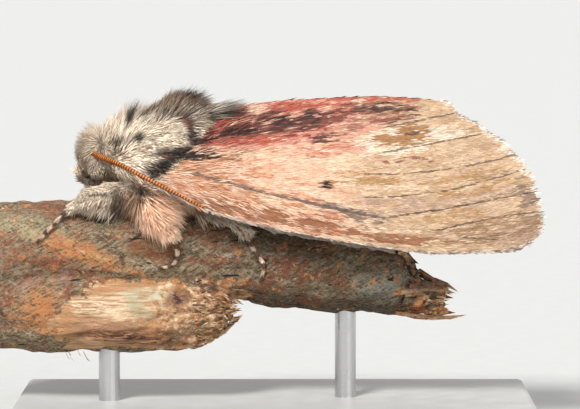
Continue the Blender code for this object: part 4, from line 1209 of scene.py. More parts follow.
def torn_group(patch):
    """Torn pale wood: long fibres, brown grooves, holes and lichen."""
    kinds = {"Place": "vector"}
    tree, g, given, result = new_group("torn wood", kinds, {"Colour": "colour", "Height": "number"})
    place = given["Place"]
    spot = g.parts(place)
    fibres = g.noise(place, (0.7, 11.0, 11.0), 4.0, 0.7)
    crumbs = g.noise(place, (2.6, 4.0, 4.0), 4.0, 0.75)
    blotch = g.noise(place, (0.6, 1.1, 1.1), 3.0, 0.6)
    crumbly = g.between(spot["X"], -5.6, -4.6)
    body = g.plus(g.times(fibres, g.minus(1.0, crumbly)), g.times(crumbs, crumbly))
    dark = g.mix(crumbly, (0.42, 0.22, 0.115), (0.24, 0.10, 0.05))
    colour = g.mix(g.between(body, 0.36, 0.56), dark, TORN_WOOD)
    colour = g.mix(g.between(body, 0.52, 0.66), colour, (0.82, 0.66, 0.46))
    colour = g.mix(g.between(blotch, 0.44, 0.36, 0.0, 0.6), colour, (0.48, 0.24, 0.12))
    colour = lay_marks(g, patch, place, colour, TORN_MARKS, body)
    colour = g.mix(g.between(body, 0.36, 0.3), colour, TORN_BROWN)
    g.feed(result.inputs["Colour"], colour)
    g.feed(result.inputs["Height"], body)
    return tree


PATCH = patch_group()
LINE = line_group()
WING = wing_group(PATCH, LINE)
COAT = coat_group(PATCH)
GRAIN = grain_group()
BARK = bark_group(PATCH)
TORN = torn_group(PATCH)


def new_material(name, **constants):
    """A material with its Principled shader, whose constants are set on its own sockets."""
    material = bpy.data.materials.new(name)
    material.use_nodes = True
    graph = Graph(material.node_tree)
    shader = material.node_tree.nodes["Principled BSDF"]
    for key, value in constants.items():
        socket = key.replace("_", " ").title().replace("Specular Level", "Specular IOR Level")
        graph.feed(shader.inputs[socket], value)
    return material, graph, shader


def bump(graph, shader, height, depth):
    """Feeds a bump this deep, in millimetres."""
    node = graph.add("ShaderNodeBump", {"Height": height, "Strength": 1.0, "Distance": depth * MM})
    graph.feed(shader.inputs["Normal"], node.outputs["Normal"])


def in_millimetres(graph):
    """The piece's own Object coordinates, in millimetres."""
    place = graph.add("ShaderNodeTexCoord").outputs["Object"]
    return graph.stretched(place, (1000.0, 1000.0, 1000.0))


def wing_material():
    """The forewing's scales, matt with a faint sheen."""
    material, g, shader = new_material("wing_scales", roughness=0.62, specular_level=0.22, sheen_weight=0.03)
    strand = g.parts(g.attribute("strand"))
    inputs = {"Place": g.attribute("root"), "Flow": g.attribute("flow")}
    marks = g.group(WING, {**inputs, "Across": strand["Z"], "Tip": strand["X"]})
    g.feed(shader.inputs["Base Color"], marks["Colour"])
    bump(g, shader, marks["Height"], 0.012)
    return material


def hindwing_material():
    """Plain grey-brown scales with faint streaks, paler at the edge."""
    material, g, shader = new_material("hindwing_scales", roughness=0.65, specular_level=0.3)
    strand = g.parts(g.attribute("strand"))
    flow = g.attribute("flow")
    streak = g.noise(flow, (9.0, 40.0, 2.0), 3.0)
    across = g.parts(flow)["Y"]
    colour = g.mix(g.between(streak, 0.35, 0.65), (0.28, 0.22, 0.185), (0.46, 0.37, 0.31))
    colour = g.mix(g.between(across, 0.93, 0.985, 0.0, 0.6), colour, (0.66, 0.55, 0.47))
    light = g.plus(0.5, g.times(strand["Y"], 0.25))
    colour = g.lit(colour, light)
    g.feed(shader.inputs["Base Color"], colour)
    bump(g, shader, streak, 0.03)
    return material


def coat_material(name):
    """Skin and hair in the coat's markings."""
    material, g, shader = new_material(name, roughness=0.6, specular_level=0.3, sheen_weight=0.05)
    colours = g.group(COAT, {"Place": g.attribute("root"), "Strand": g.attribute("strand")})
    g.feed(shader.inputs["Base Color"], colours["Colour"])
    grain = g.group(GRAIN, {"Place": in_millimetres(g), "Scale": 14.0})
    bump(g, shader, grain["Height"], 0.01)
    return material


def eye_material():
    """The dark eye with its fine facets."""
    material, g, shader = new_material("eye", roughness=0.45, specular_level=0.4, coat_weight=0.05)
    place = in_millimetres(g)
    facets = g.add("ShaderNodeTexVoronoi", {"Vector": place, "Scale": 14.0})
    colour = g.mix(facets.outputs["Distance"], (0.13, 0.105, 0.08), (0.27, 0.22, 0.17))
    g.feed(shader.inputs["Base Color"], colour)
    bump(g, shader, g.minus(1.0, facets.outputs["Distance"]), 0.01)
    return material


def banded_material(name, dark, pale, bands, mottled=0.0):
    """Horny skin with light bands along the share b, as on feelers and feet."""
    material, g, shader = new_material(name, roughness=0.5, specular_level=0.4)
    strand = g.parts(g.attribute("strand"))
    grain = g.group(GRAIN, {"Place": in_millimetres(g), "Scale": 8.0})
    wave = g.math("SINE", g.times(strand["X"], bands * 2 * math.pi))
    spots = g.minus(g.noise(in_millimetres(g), 6.0, 2.0), 0.5)
    wave = g.plus(wave, g.times(spots, mottled))
    colour = g.mix(g.between(wave, -0.2, 0.5), dark, pale)
    colour = g.mix(g.times(strand["Z"], 0.85), colour, dark)
    light = g.between(grain["Share"], 0.3, 0.7, 0.75, 1.2)
    colour = g.lit(colour, light)
    g.feed(shader.inputs["Base Color"], colour)
    bump(g, shader, grain["Height"], 0.012)
    return material


def bark_material():
    """Bark, and torn wood where the torn attribute says, with a ragged margin between them."""
    material, g, shader = new_material("bark", roughness=0.85, specular_level=0.25)
    place = in_millimetres(g)
    torn = g.add("ShaderNodeAttribute", attribute_name="torn").outputs["Fac"]
    bark = g.group(BARK, {"Place": place})
    wood = g.group(TORN, {"Place": place})
    ragged = g.times(g.minus(g.noise(place, 2.2, 4.0, 0.7), 0.5), 2.8)
    torn = g.held(g.plus(torn, ragged), 0.0, 1.0)
    broken = g.between(g.noise(place, 1.3, 3.0, 0.6), 0.49, 0.6)
    margin = g.times(g.between(torn, 0.1, 0.4), g.between(torn, 0.8, 0.5))
    colour = g.mix(g.between(torn, 0.42, 0.56), bark["Colour"], wood["Colour"])
    colour = g.mix(g.times(margin, broken), colour, LICHEN_ORANGE)
    g.feed(shader.inputs["Base Color"], colour)
    bump(g, shader, g.plus(bark["Height"], g.times(wood["Height"], torn)), 0.12)
    return material


def stand_material(name, colour, roughness, metallic=0.0):
    """A plain finish, a little uneven, for the stand and the floor."""
    material, g, shader = new_material(name, metallic=metallic)
    grain = g.group(GRAIN, {"Place": in_millimetres(g), "Scale": 3.0})
    worn = tuple(channel * 0.88 for channel in colour)
    g.feed(shader.inputs["Base Color"], g.mix(grain["Share"], worn, colour))
    polish = g.between(grain["Share"], 0.3, 0.7, roughness - 0.06, roughness + 0.08)
    g.feed(shader.inputs["Roughness"], polish)
    bump(g, shader, grain["Height"], 0.004)
    return material


FOREWING = wing_material()
HINDWING = hindwing_material()
FUR = coat_material("fur")
EYE = eye_material()
FEELER = banded_material("feeler", (0.10, 0.022, 0.004), (0.56, 0.185, 0.022), FEELER_TEETH)
FOOT = banded_material("foot", (0.10, 0.05, 0.032), (0.62, 0.44, 0.32), 4, 5.0)
TWIG = bark_material()
PLATE = stand_material("stand_plate", (0.56, 0.56, 0.54), 0.38)
METAL = stand_material("stand_metal", (0.62, 0.62, 0.62), 0.3, 1.0)


# Camera, light and floor
def make_camera():
    """The camera at the photograph's angle."""
    camera = bpy.data.objects.new("camera", bpy.data.cameras.new("camera"))
    camera.data.sensor_width = CAMERA_SENSOR
    camera.data.lens = CAMERA_SENSOR * CAMERA_DISTANCE / VIEW_WIDTH
    camera.data.clip_start = 0.01
    camera.data.clip_end = 20.0
    lift = math.radians(CAMERA_ELEVATION)
    back = Vector((0.0, -math.cos(lift), math.sin(lift)))
    camera.location = (Vector(CAMERA_AIM) + back * CAMERA_DISTANCE) * MM
    camera.rotation_euler = (-back).to_track_quat("-Z", "Y").to_euler()
    bpy.context.scene.collection.objects.link(camera)
    bpy.context.scene.camera = camera


def make_light(name, strength, azimuth, elevation, softness):
    """A distant soft light; azimuth 0 comes from the camera's side and positive from the right."""
    lamp = bpy.data.lights.new(name, "SUN")
    lamp.energy = strength
    lamp.angle = softness
    obj = bpy.data.objects.new(name, lamp)
    turn, lift = math.radians(azimuth), math.radians(elevation)
    towards = Vector((math.sin(turn) * math.cos(lift), -math.cos(turn) * math.cos(lift), math.sin(lift)))
    obj.rotation_euler = towards.to_track_quat("Z", "Y").to_euler()
    bpy.context.scene.collection.objects.link(obj)


def make_studio():
    """The lights, a white sky and a pale floor."""
    bpy.context.scene.view_settings.view_transform = "Standard"
    for name, values in LIGHTS.items():
        make_light(name, *values)
    world = bpy.data.worlds.new("studio")
    world.use_nodes = True
    world.node_tree.nodes["Background"].inputs["Color"].default_value = (1.0, 1.0, 1.0, 1.0)
    world.node_tree.nodes["Background"].inputs["Strength"].default_value = SKY_STRENGTH
    bpy.context.scene.world = world
    bm = bmesh.new()
    bmesh.ops.create_grid(bm, x_segments=8, y_segments=8, size=FLOOR_SIZE)
    mesh = mesh_from(bm, "floor")
    mesh.materials.append(stand_material("floor", (0.62, 0.62, 0.605), 0.8))
    floor = bpy.data.objects.new("floor", mesh)
    bpy.context.scene.collection.objects.link(floor)


# Twig and stand
def make_twig():
    """The limb and the torn stub in one skin of bark and wood."""
    limb = branch(LIMB_X, [0.0] * len(LIMB_X), LIMB_Z, LIMB_RADIUS)
    stub = branch(STUB_X, STUB_Y, STUB_Z, STUB_RADIUS)
    bodies = [bent_grid(limb, 48, 90)[0], bent_grid(stub, 48, 60)[0]]
    mesh = wrapped(bodies, TWIG_VOXEL, rounds=2)
    points, normals = points_of(mesh), normals_of(mesh)
    x, y, z = points.T
    ragged = clouds(points, (0.9, 1.6, 1.6))
    start = np.interp(z, TORN_FACE_Z, TORN_FACE_X)
    near_face = rise(-y + 0.5 * ragged, 1.35, 1.9) * rise(x + 0.8 * ragged - start, -0.7, 0.7)
    near_face *= rise(z + 0.2 * ragged, 6.6, 6.1) * rise(x, -0.9, -1.5)
    stub_end = rise(x + 0.8 * ragged, -2.6, -2.1) * rise(z, 6.0, 5.7) * rise(x, -0.9, -1.4)
    limb_end = rise(x + 0.8 * ragged, 5.3, 5.9)
    torn = np.clip(near_face + stub_end + limb_end, 0, 1)
    lump = clouds(points, (0.55, 0.9, 0.9))
    fibre = clouds(points, (0.7, 3.2, 3.2))
    knot = clouds(points, (1.9, 2.2, 2.2), (20.0, 0.0, 0.0))
    split = clouds(points, (0.45, 2.4, 2.4), (0.0, 9.0, 0.0))
    bark = 0.14 * lump + 0.07 * fibre + 0.07 * knot - 0.22 * np.maximum(0.0, split - 0.22)
    wood = 0.22 * lump + 0.2 * fibre - 0.3 * np.maximum(0.0, split - 0.1)
    broken_off = np.clip(stub_end + limb_end + near_face * rise(x, -5.4, -4.4), 0, 1)
    crumbs = 0.16 * clouds(points, (3.4, 3.4, 3.4), (0.0, 0.0, 5.0)) * broken_off
    relief = bark + (wood - bark - 0.1) * torn + crumbs - 0.04
    move_points(mesh, points + normals * relief[:, None])
    note(mesh, "torn", torn)
    finished("twig", mesh, TWIG, ["perch"])
    return limb, stub


def make_splinters(limb, stub):
    """Broken fibres at the limb's end and round the stub's torn face."""
    chance = np.random.default_rng(SEED + 1)
    coat = Coat()

    def outward(spot, normal):
        """Towards the twig's broken end."""
        return np.tile([1.0, 0.0, -0.05], (len(spot), 1))

    for number, low, long, wide in LIMB_SPLINTERS:
        place = {"window": (0, 1, low, 0.975), "cell": (0, 0, 1, 0.5)}
        ends = scattered(growth_on(limb, number, outward, chance, **place), chance, 0.15)
        length = long * chance.uniform(0.4, 1.0, number)
        coat.locks(ends, length, wide * chance.uniform(0.4, 1.0, number), 0.06, 0.04, thick=0.3)
    place = {"window": (0, 1, 0.82, 0.99), "cell": (0, 0.5, 0.9, 0.5)}
    tears = scattered(growth_on(stub, STUB_SPLINTERS, outward, chance, **place), chance, 0.3)
    length = chance.uniform(0.2, 0.55, STUB_SPLINTERS)
    coat.locks(tears, length, chance.uniform(0.04, 0.11, STUB_SPLINTERS), 0.12, 0.05, thick=0.6)
    place = {"window": (0.42, 0.5, 0.34, 0.44), "cell": (0.9, 0.5, 0.1, 0.5)}
    hanging = growth_on(stub, HANGING_FIBRES, outward, chance, **place)
    length = chance.uniform(0.35, 0.8, HANGING_FIBRES)
    coat.locks(hanging, length, chance.uniform(0.04, 0.1, HANGING_FIBRES), 1.15, 0.35, thick=0.5)
    mesh = coat.mesh("splinters")
    whole = len(mesh.vertices) // LOCK_CORNERS
    note(mesh, "torn", np.where(chance.random(whole) < 0.75, 1.0, 0.3).repeat(LOCK_CORNERS))
    finished("twig_splinters", mesh, TWIG, smooth=False)


def make_rods():
    """The stand's rods, where their solids stand, from the plate up into the twig."""
    for node, x in ROD_STATIONS.items():
        low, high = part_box(node)
        y, bottom, top = (low.y + high.y) / 2 / MM, BASE_THICK - ROD_SINK, high.z / MM + ROD_REACH
        bm = bmesh.new()
        bmesh.ops.create_circle(bm, cap_ends=True, segments=32, radius=ROD_RADIUS)
        bmesh.ops.translate(bm, vec=(x, y, bottom), verts=bm.verts)
        made = bmesh.ops.extrude_face_region(bm, geom=bm.faces[:])
        raised = [item for item in made["geom"] if isinstance(item, bmesh.types.BMVert)]
        bmesh.ops.translate(bm, vec=(0.0, 0.0, top - bottom), verts=raised)
        bmesh.ops.recalc_face_normals(bm, faces=bm.faces)
        finished(node + "_full", mesh_from(bm, node), METAL, [node], smooth=False)


# Body
def body_forms(inset):
    """The head, thorax, abdomen and legs as forms, this far inside their solids' cores."""
    forms = {"head": head_form(inset), "thorax": thorax_form(inset)}
    abdomen = [(x, 0.0, z) for x, z in zip(ABDOMEN_X, ABDOMEN_Z)]
    radii = [radius - ABDOMEN_HAIR_DEPTH for radius in ABDOMEN_RADIUS]
    forms["abdomen"] = tube([WAIST, *abdomen], [WAIST_RADIUS, *radii])
    for side_name, side in SIDES:
        for leg, path in LEG_PATHS.items():
            way = other_side(path, side)
            forms[f"leg_{leg}_{side_name}"] = tube(way, LEG_RADII[leg], around=(0.0, 1.0, 0.0))
    return forms


def make_skin(forms):
    """One skin for the head, thorax, abdomen and legs, with no seam."""
    bodies = [bent_grid(form, 40, 40)[0] for form in forms.values()]
    neck = tube([(x, 0.0, HEAD_CENTRE[2]) for x in NECK_X], NECK_RADII)
    bodies.append(bent_grid(neck, 32, 8)[0])
    mesh = wrapped(bodies, SKIN_VOXEL, rounds=4)
    points = points_of(mesh)
    note(mesh, "root", points)
    # The skin takes the share of a hair's root, so the coat's painted shade darkens it.
    note(mesh, "strand", np.tile([0.12, 0.4, 0.0], (len(points), 1)))
    legs = [name for name in forms if name.startswith("leg_")]
    finished("skin", mesh, FUR, ["head", "thorax", "abdomen", *legs])
    return neck


def thorax_height(spot):
    """How high on the thorax a spot lies, from -1 below to 1 on the back."""
    x, _, z = spot.T
    return (2 * z - thorax_top(x) - thorax_bottom(x)) / (thorax_top(x) - thorax_bottom(x))


def thorax_lie(spot, normal):
    """Back along the body: up at the collar, down on the flanks and steeply down below."""
    x = spot[:, 0]
    height = thorax_height(spot)
    collar = rise(x, -5.4, -6.6)
    angle = np.interp(height, LIE_HEIGHTS, LIE_DEGREES)
    angle = np.radians(angle + collar * np.interp(height, COLLAR_HEIGHTS, COLLAR_DEGREES))
    return np.stack([np.cos(angle), 0 * x, np.sin(angle)], -1)


def make_thorax_coat(form, neck):
    """The long hair of the thorax: a raised collar, a smooth pale side and the ragged mass below it."""
    chance = np.random.default_rng(SEED + 2)
    coat = Coat()
    count = THORAX_TUFTS
    growth = scattered(growth_on(form, count, thorax_lie, chance, cell=(0, 0, 1, 0.8)), chance, 0.17)
    x = growth["spot"][:, 0]
    height = thorax_height(growth["spot"])
    collar = rise(x, -5.7, -6.5) * rise(height, -0.2, 0.5)
    top = rise(height, 0.45, 0.95)
    belly = rise(height, -0.3, -0.6) * rise(x, -6.5, -5.8)
    clump = clumps(growth, 1.5)
    front = rise(x, -4.9, -5.9)
    spread = 1 + 0.45 * top * (1 - front) + 1.0 * belly + 0.22 * top * front + 0.3 * clump
    edge = np.maximum(np.maximum(top, collar), belly)
    length = chance.uniform(0.42, 0.72, count) * spread * (1 + 0.65 * edge)
    width = chance.uniform(0.028, 0.05, count)
    lift = chance.uniform(0.16, 0.4, count) + 0.25 * top + 0.12 * collar + 0.5 * belly + 0.25 * clump
    coat.locks(growth, length, width, lift, 0.2 - 0.12 * collar)
    count = NAPE_TUFTS
    nape = growth_on(neck, count, thorax_lie, chance, window=(0, 1, 0.0, 0.7), cell=(0, 0.8, 1, 0.2))
    scattered(nape, chance, 0.2)
    above = rise(nape["normal"][:, 2], 0.2, 0.9)
    length = chance.uniform(0.45, 0.75, count) * (1 + 0.7 * above)
    coat.locks(nape, length, chance.uniform(0.035, 0.06, count), 0.4 + 0.5 * above, 0.1)
    finished("thorax_hair", coat.mesh("thorax_hair"), FUR)


def make_crest(form):
    """The raised tuft on the back and the flatter one behind it, dark at their tips."""
    chance = np.random.default_rng(SEED + 3)
    coat = Coat()
    for x_low, x_high, half, long, steep, number, cell in CREST_ROWS:
        low, high = ((x - THORAX_X[0]) / (THORAX_X[-1] - THORAX_X[0]) for x in (x_low, x_high))
        growth = growth_on(form, number, None, chance, window=(-half, half, low, high), cell=cell)
        growth["lie"] = unit(growth["lie"] * np.array([1.0, 0.4, 1.0]))
        scattered(growth, chance, 0.12)
        clump = clumps(growth, 2.3)
        ahead = rise(growth["spot"][:, 0], -4.4, -5.9)
        length = long * chance.uniform(0.5, 1.08, number) * (1 + 0.4 * clump) * (1 - 0.35 * ahead)
        lift = steep * chance.uniform(0.75, 1.2, number) * (1 - 0.3 * ahead)
        dark = chance.random(number) + 0.8 * clump - 0.4 * ahead > 0.35
        tone = np.where(dark, chance.uniform(0.5, 1.0, number), chance.uniform(0.0, 0.25, number))
        coat.locks(growth, length, chance.uniform(0.035, 0.065, number), lift, 0.1, tone)
    finished("crest", coat.mesh("crest"), FUR)


def head_lie(spot, normal):
    """Away from the whorl beside the crown."""
    x, y, z = spot.T
    away = np.stack([x - HEAD_WHORL[0], 0.15 * y, z - HEAD_WHORL[1]], -1)
    return unit(away) + np.array([-0.05, 0.0, -0.05])


def clear_of_eye(spot):
    """Leaves the bulge of the eye bare but for its margin."""
    near = np.stack([spot[:, 0], -np.abs(spot[:, 1]), spot[:, 2]], -1)
    return np.linalg.norm(near - np.array(EYE_CENTRE), axis=-1) > EYE_RADIUS * 0.25


def make_head_coat(form):
    """The head's hair: short on the face, longest on the brow and crown."""
    chance = np.random.default_rng(SEED + 4)
    coat = Coat()
    growth = growth_on(form, HEAD_TUFTS, head_lie, chance, keep=clear_of_eye, window=(0, 1, 0.0, 0.9))
    scattered(growth, chance, 0.22)
    x, _, z = growth["spot"].T
    count = len(x)
    crown = rise(z, 11.7, 12.3)
    low = rise(z, 11.0, 10.7)
    length = chance.uniform(0.42, 0.68, count) * (1 + 0.1 * crown - 0.2 * low)
    clump = clumps(growth, 2.6)
    lift = chance.uniform(0.25, 0.6, count) + 0.25 * crown + 0.4 * clump
    length *= 1 + 0.5 * clump
    coat.locks(growth, length, chance.uniform(0.028, 0.05, count), lift, 0.2 - 0.15 * crown)
    for _, side in SIDES:
        number = EYE_MARGIN_TUFTS
        eye = growth_on(eye_form(side), number, head_lie, chance, window=(0, 1, 0.25, 0.9))
        scattered(eye, chance, 0.3)
        length = chance.uniform(0.14, 0.26, number)
        coat.locks(eye, length, chance.uniform(0.02, 0.035, number), 0.35, 0.1)
    finished("head_hair", coat.mesh("head_hair"), FUR)


def fan_lie(spot, normal):
    """Slanting back and down, as the long hair over the middle thigh lies."""
    return np.tile([1.0, 0.0, -0.85], (len(spot), 1))


def make_leg_coats(forms):
    """Hair along the thighs and shins, with a longer brush that hangs below them."""
    for side_name, _ in SIDES:
        chance = np.random.default_rng(SEED + 5)
        coat = Coat()
        for i, (leg, (number, long, brush, hang)) in enumerate(LEG_BRUSHES.items()):
            form = forms[f"leg_{leg}_{side_name}"]
            cell = (i / 3, 0.0, 1 / 3, 1.0)
            growth = growth_on(form, number, None, chance, window=(0, 1, 0.05, 1.0), cell=cell)
            normal = growth["normal"]
            sunny = rise(normal[:, 2:3], 0.2, 0.9)
            way = growth["lie"] * (0.45 + 0.6 * sunny) + np.array(hang) * (1 - 0.75 * sunny)
            growth["lie"] = unit(way - normal * (way * normal).sum(-1, keepdims=True))
            scattered(growth, chance, 0.2)
            below = rise(-normal[:, 2], -0.1, 0.7)
            along = growth["flow"][:, 0]
            clump = clumps(growth, 2.6)
            shrink = (1 - 0.7 * along**2) * (1 + 1.2 * clump)
            length = (long + (brush - long) * below) * chance.uniform(0.55, 1.1, number) * shrink
            lift = chance.uniform(0.12, 0.45, number) + 0.3 * below + 0.3 * clump
            coat.locks(growth, length, chance.uniform(0.035, 0.065, number), lift, 0.05)
        form, number = forms[f"leg_mid_{side_name}"], THIGH_FAN_TUFTS
        place = {"window": (0, 1, 0.0, 0.6), "cell": (1 / 3, 0, 1 / 3, 1)}
        fan = scattered(growth_on(form, number, fan_lie, chance, **place), chance, 0.2)
        length = chance.uniform(1.1, 1.9, number) * (1 - 0.4 * fan["flow"][:, 0])
        width = chance.uniform(0.035, 0.06, number)
        coat.locks(fan, length, width, chance.uniform(0.15, 0.5, number), 0.1)
        finished(f"leg_hair_{side_name}", coat.mesh("leg_hair"), FUR)


def make_abdomen_coat(form):
    """The abdomen's plain hair, below the wings."""
    chance = np.random.default_rng(SEED + 6)
    coat = Coat()
    count = ABDOMEN_TUFTS
    growth = scattered(growth_on(form, count, None, chance, window=(0, 1, 0.1, 1.0)), chance, 0.15)
    coat.locks(growth, chance.uniform(0.4, 0.7, count), chance.uniform(0.06, 0.1, count), 0.3, 0.2)
    finished("abdomen_hair", coat.mesh("abdomen_hair"), FUR)


def make_eyes():
    """The two eyeballs, half hidden in the head's hair."""
    for side_name, side in SIDES:
        bm = bmesh.new()
        bmesh.ops.create_icosphere(bm, subdivisions=4, radius=EYE_RADIUS)
        bmesh.ops.translate(bm, vec=other_side([EYE_CENTRE], side)[0], verts=bm.verts)
        finished(f"eye_ball_{side_name}", mesh_from(bm, "eye"), EYE, [f"eye_{side_name}"])


def note_share(mesh, share):
    """Stores the share along a banded piece, with no chance and no dark tip."""
    note(mesh, "strand", np.stack([share, 0.5 + 0 * share, 0 * share], -1))


def banded_tube(form, across, along):
    """A closed tube with its share along it as an attribute."""
    bm, flat = bent_grid(form, across, along, closed=False)
    mesh = mesh_from(bm, "tube")
    note_share(mesh, flat[:, 1])
    whole = bmesh.new()
    whole.from_mesh(mesh)
    close_up(whole)
    whole.to_mesh(mesh)
    whole.free()
    return mesh


def make_antennae():
    """The feelers: a jointed shaft and the comb of fine teeth under it."""
    for side_name, side in SIDES:
        form = tube(other_side(ANTENNA_PATH, side), ANTENNA_RADII)
        mesh = banded_tube(form, 10, 160)
        finished(f"feeler_{side_name}", mesh, FEELER, [f"antenna_{side_name}"])
        chance = np.random.default_rng(SEED + 8)
        coat = Coat()
        for row, turn in enumerate((0.3, 0.42, 0.58)):
            b = np.linspace(0.03, 0.93, FEELER_TEETH)
            a = np.full(FEELER_TEETH, turn)
            spot = form.place(a, b)
            normal, along = form.normals(a, b)
            growth = {
                "spot": spot - normal * 0.02,
                "normal": along,
                "lie": unit(normal + along * 0.5),
                "map": np.stack([0.02 + 0.96 * b, 0 * b + 0.2 + 0.2 * row], -1),
                "random": chance.random(FEELER_TEETH),
                "flow": np.stack([b, a, a], -1),
            }
            length = 0.15 * (1 - 0.6 * b**2)
            coat.locks(growth, length, 0.07 * (1 - 0.5 * b), 0.0, 0.0, tone=0.6, thick=0.5)
        finished(f"feeler_comb_{side_name}", coat.mesh("comb"), FEELER)


def make_palps():
    """The two short furred palps below the face."""
    for side_name, side in SIDES:
        form = tube(other_side(PALP_PATH, side), PALP_RADII, around=(0.0, 1.0, 0.0))
        bm, _ = bent_grid(form, 20, 20)
        mesh = mesh_from(bm, "palp")
        points = points_of(mesh)
        note(mesh, "root", points)
        # The palp's skin takes the share of a hair's root, so the coat's painted shade darkens it.
        note(mesh, "strand", np.tile([0.1, 0.5, 0.0], (len(points), 1)))
        finished(f"palp_skin_{side_name}", mesh, FUR, [f"palp_{side_name}"])
        chance = np.random.default_rng(SEED + 9)
        coat = Coat()
        count = PALP_TUFTS
        growth = scattered(growth_on(form, count, None, chance), chance, 0.3)
        clump = clumps(growth, 5.0)
        length = chance.uniform(0.06, 0.3, count) * (1 + 1.5 * clump)
        coat.locks(growth, length, chance.uniform(0.03, 0.05, count), chance.uniform(0.3, 0.8, count), 0.1)
        finished(f"palp_hair_{side_name}", coat.mesh("palp_hair"), FUR)


def on_bark(x, z, side, clear):
    """The point at x and z this far off the limb's flank."""
    reach = float(limb_radius(x)) + clear
    drop = z - float(limb_z(x))
    return (x, side * math.sqrt(max(reach * reach - drop * drop, 0.0)), z)


def make_feet():
    """The jointed feet on the bark, each with close short scales."""
    for side_name, side in SIDES:
        for leg, stops in FOOT_STOPS.items():
            start = other_side([LEG_PATHS[leg][-1]], side)[0]
            path = [start] + [on_bark(x, z, side, 0.12 - 0.03 * i) for i, (x, z) in enumerate(stops[1:])]
            form = tube(path, FOOT_RADII, around=(0.0, 1.0, 0.0))
            mesh = banded_tube(form, 14, 50)
            finished(f"shin_{leg}_{side_name}", mesh, FOOT, [f"foot_{leg}_{side_name}"])
            chance = np.random.default_rng(SEED + 10)
            coat = Coat()
            count = FOOT_TUFTS
            growth = scattered(growth_on(form, count, None, chance, window=(0, 1, 0, 0.96)), chance, 0.2)
            growth["flow"][:, 2] = 0.5
            length = chance.uniform(0.08, 0.15, count)
            coat.locks(growth, length, chance.uniform(0.025, 0.04, count), 0.2, 0.2)
            hair = coat.mesh("shin_scales")
            hair.attributes.remove(hair.attributes["strand"])
            note_share(hair, np.repeat(growth["flow"][:, 0], LOCK_CORNERS))
            finished(f"shin_scales_{leg}_{side_name}", hair, FOOT)


# Wings
def vein_relief(a, b):
    """How far the veins stand up from the forewing."""
    height = sum(np.exp(-(((a - vein) / VEIN_WIDTH) ** 2)) for vein in VEINS)
    return VEIN_RISE * height * rise(b, 0.1, 0.4)


def pleat_relief(a, b):
    """How far the hind wing's pleats stand up."""
    return PLEAT_RISE * np.abs(np.sin(PLEATS * np.pi * a)) + 0 * b


def flow_of(spot, random):
    """The flow attribute of the wing: place along X, flow line and a random share."""
    return np.stack([spot[:, 0], wing_flow(spot)[0], random], -1)


def wing_skin(form, side, across, along, relief):
    """A wing's outer face raised by the relief, its points without it, and its shares a and b."""
    bm, flat = bent_grid(form, across, along, closed=False)
    mesh = mesh_from(bm, "wing")
    a, b = flat.T
    points = points_of(mesh)
    note(mesh, "root", points)
    move_points(mesh, points + form.normals(a, b)[0] * relief(a, b)[:, None])
    if side > 0:
        mesh.flip_normals()
    return mesh, points, a, b


def thicken(wing):
    """Gives a wing's skin its wall, inwards from the outer face."""
    wall = wing.modifiers.new("membrane", "SOLIDIFY")
    wall.thickness = MEMBRANE * MM
    wall.offset = -1.0


def make_forewings():
    """The two forewings: skin, scales, fringe and the hair at their roots."""
    for side_name, side in SIDES:
        form = forewing_form(side)
        mesh, points, a, _ = wing_skin(form, side, 150, 90, vein_relief)
        chance = np.random.default_rng(SEED)
        note(mesh, "flow", flow_of(points, chance.random(len(points))))
        note(mesh, "strand", np.stack([0.3 + 0 * a, 0.5 + 0 * a, a], -1))
        name = f"forewing_skin_{side_name}"
        thicken(finished(name, mesh, FOREWING, [f"forewing_{side_name}"]))
        make_wing_scales(form, side_name)
        make_fringe(form, side_name)
        make_root_hair(form, side_name)


def settle_flow(growth):
    """Puts the wing's own flow in a growth made on it, and returns its shares across and along."""
    b, a = growth["flow"][:, 0].copy(), growth["flow"][:, 1].copy()
    growth["flow"] = flow_of(growth["spot"], growth["random"])
    return a, b


def make_wing_scales(form, side_name):
    """The forewing's overlapping scales, laid along its flow lines."""
    chance = np.random.default_rng(SEED + 11)
    coat = Coat()
    count = FOREWING_SCALES
    growth = growth_on(form, count, wing_lie, chance, window=(0.0, 1.0, 0.0, 0.995))
    scattered(growth, chance, 0.09)
    a, b = settle_flow(growth)
    growth["spot"] = growth["spot"] + growth["normal"] * vein_relief(a, b)[:, None]
    fine = rise(b, 0.5, 0.1)
    length = chance.uniform(0.3, 0.5, count) * (1 + 0.7 * fine)
    width = chance.uniform(0.045, 0.07, count) * (1 - 0.15 * fine)
    coat.scales(growth, length, width, chance.uniform(0.015, 0.06, count), a)
    finished(f"wing_scales_{side_name}", coat.mesh("wing_scales"), FOREWING, smooth=False)


def make_root_hair(form, side_name):
    """Long hair over the wing's root, where it comes out from under the thorax."""
    chance = np.random.default_rng(SEED + 14)
    coat = Coat()
    count = WING_ROOT_HAIRS
    growth = growth_on(form, count, wing_lie, chance, window=(0.08, 1.0, -0.03, 0.12))
    scattered(growth, chance, 0.15)
    a, _ = settle_flow(growth)
    length = chance.uniform(0.45, 0.9, count)
    width = chance.uniform(0.035, 0.06, count)
    coat.scales(growth, length, width, chance.uniform(0.04, 0.15, count), a)
    name = f"wing_root_hair_{side_name}"
    finished(name, coat.mesh("wing_root_hair"), FOREWING, smooth=False)


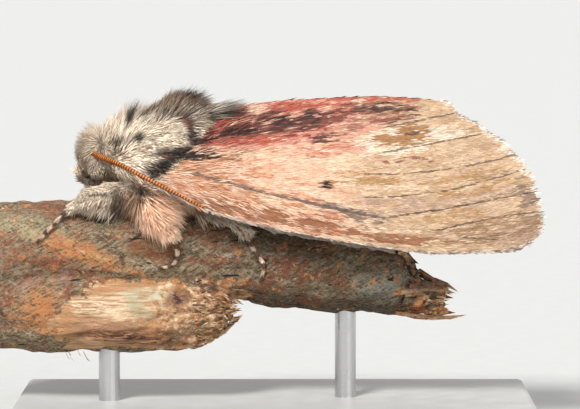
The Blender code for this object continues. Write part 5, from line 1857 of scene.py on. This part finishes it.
def make_fringe(form, side_name):
    """The fringe of longer scales round the wing's outer edge and along its front edge."""
    chance = np.random.default_rng(SEED + 12)
    coat = Coat()
    count = OUTER_FRINGE_SCALES
    place = {"window": (0.0, 1.0, 0.98, 1.0), "cell": (0, 0, 1, 0.5)}
    outer = scattered(growth_on(form, count, wing_lie, chance, **place), chance, 0.25)
    a, b = settle_flow(outer)
    bunch = 0.8 + 0.3 * np.sin(a * 2 * np.pi * FRINGE_BUNCHES)
    length = chance.uniform(0.6, 1.1, count) * bunch * FRINGE
    white = (chance.random(count) < 0.7 + 0.3 * rise(a, 0.5, 0.1)) & (b > 0.986)
    pale = np.where(white, 2.0, np.minimum(a, 0.95))
    coat.scales(outer, length, chance.uniform(0.05, 0.09, count), 0.05, pale)
    count = FRONT_FRINGE_SCALES
    place = {"window": (0.985, 1.0, 0.0, 1.0), "cell": (0, 0.5, 1, 0.5)}
    front = growth_on(form, count, None, chance, **place)
    front["lie"] = unit(front["lie"] + np.array([0.0, 0.0, -0.12]))
    scattered(front, chance, 0.12)
    a, _ = settle_flow(front)
    length = chance.uniform(0.18, 0.32, count)
    coat.scales(front, length, chance.uniform(0.04, 0.065, count), 0.03, a)
    finished(f"wing_fringe_{side_name}", coat.mesh("wing_fringe"), FOREWING, smooth=False)


def make_hindwings():
    """The two pleated hind wings and their plain scales."""
    for side_name, side in SIDES:
        form = hindwing_form(side)
        mesh, points, a, b = wing_skin(form, side, 50, 60, pleat_relief)
        note(mesh, "flow", np.stack([b, a, 0.5 + 0 * b], -1))
        note(mesh, "strand", np.tile([0.3, 0.5, 0.0], (len(points), 1)))
        name = f"hindwing_skin_{side_name}"
        thicken(finished(name, mesh, HINDWING, [f"hindwing_{side_name}"]))
        chance = np.random.default_rng(SEED + 13)
        coat = Coat()
        count = HINDWING_SCALES
        growth = scattered(growth_on(form, count, None, chance, window=(0, 1, 0, 0.99)), chance, 0.12)
        b, a, _ = growth["flow"].T
        growth["spot"] = growth["spot"] + growth["normal"] * pleat_relief(a, b)[:, None]
        length = chance.uniform(0.3, 0.45, count)
        coat.scales(growth, length, chance.uniform(0.07, 0.1, count), 0.08)
        name = f"hindwing_scales_{side_name}"
        finished(name, coat.mesh("hindwing_scales"), HINDWING, smooth=False)


def build():
    """Makes the camera, the studio and every piece."""
    make_camera()
    make_studio()
    limb, stub = make_twig()
    make_splinters(limb, stub)
    make_rods()
    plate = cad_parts["stand_base"]
    plate.data.materials.clear()
    plate.data.materials.append(PLATE)
    forms = body_forms(SKIN_DEPTH)
    neck = make_skin(forms)
    make_thorax_coat(forms["thorax"], neck)
    make_crest(forms["thorax"])
    make_head_coat(forms["head"])
    make_leg_coats(forms)
    make_abdomen_coat(forms["abdomen"])
    make_eyes()
    make_antennae()
    make_palps()
    make_feet()
    make_forewings()
    make_hindwings()


build()
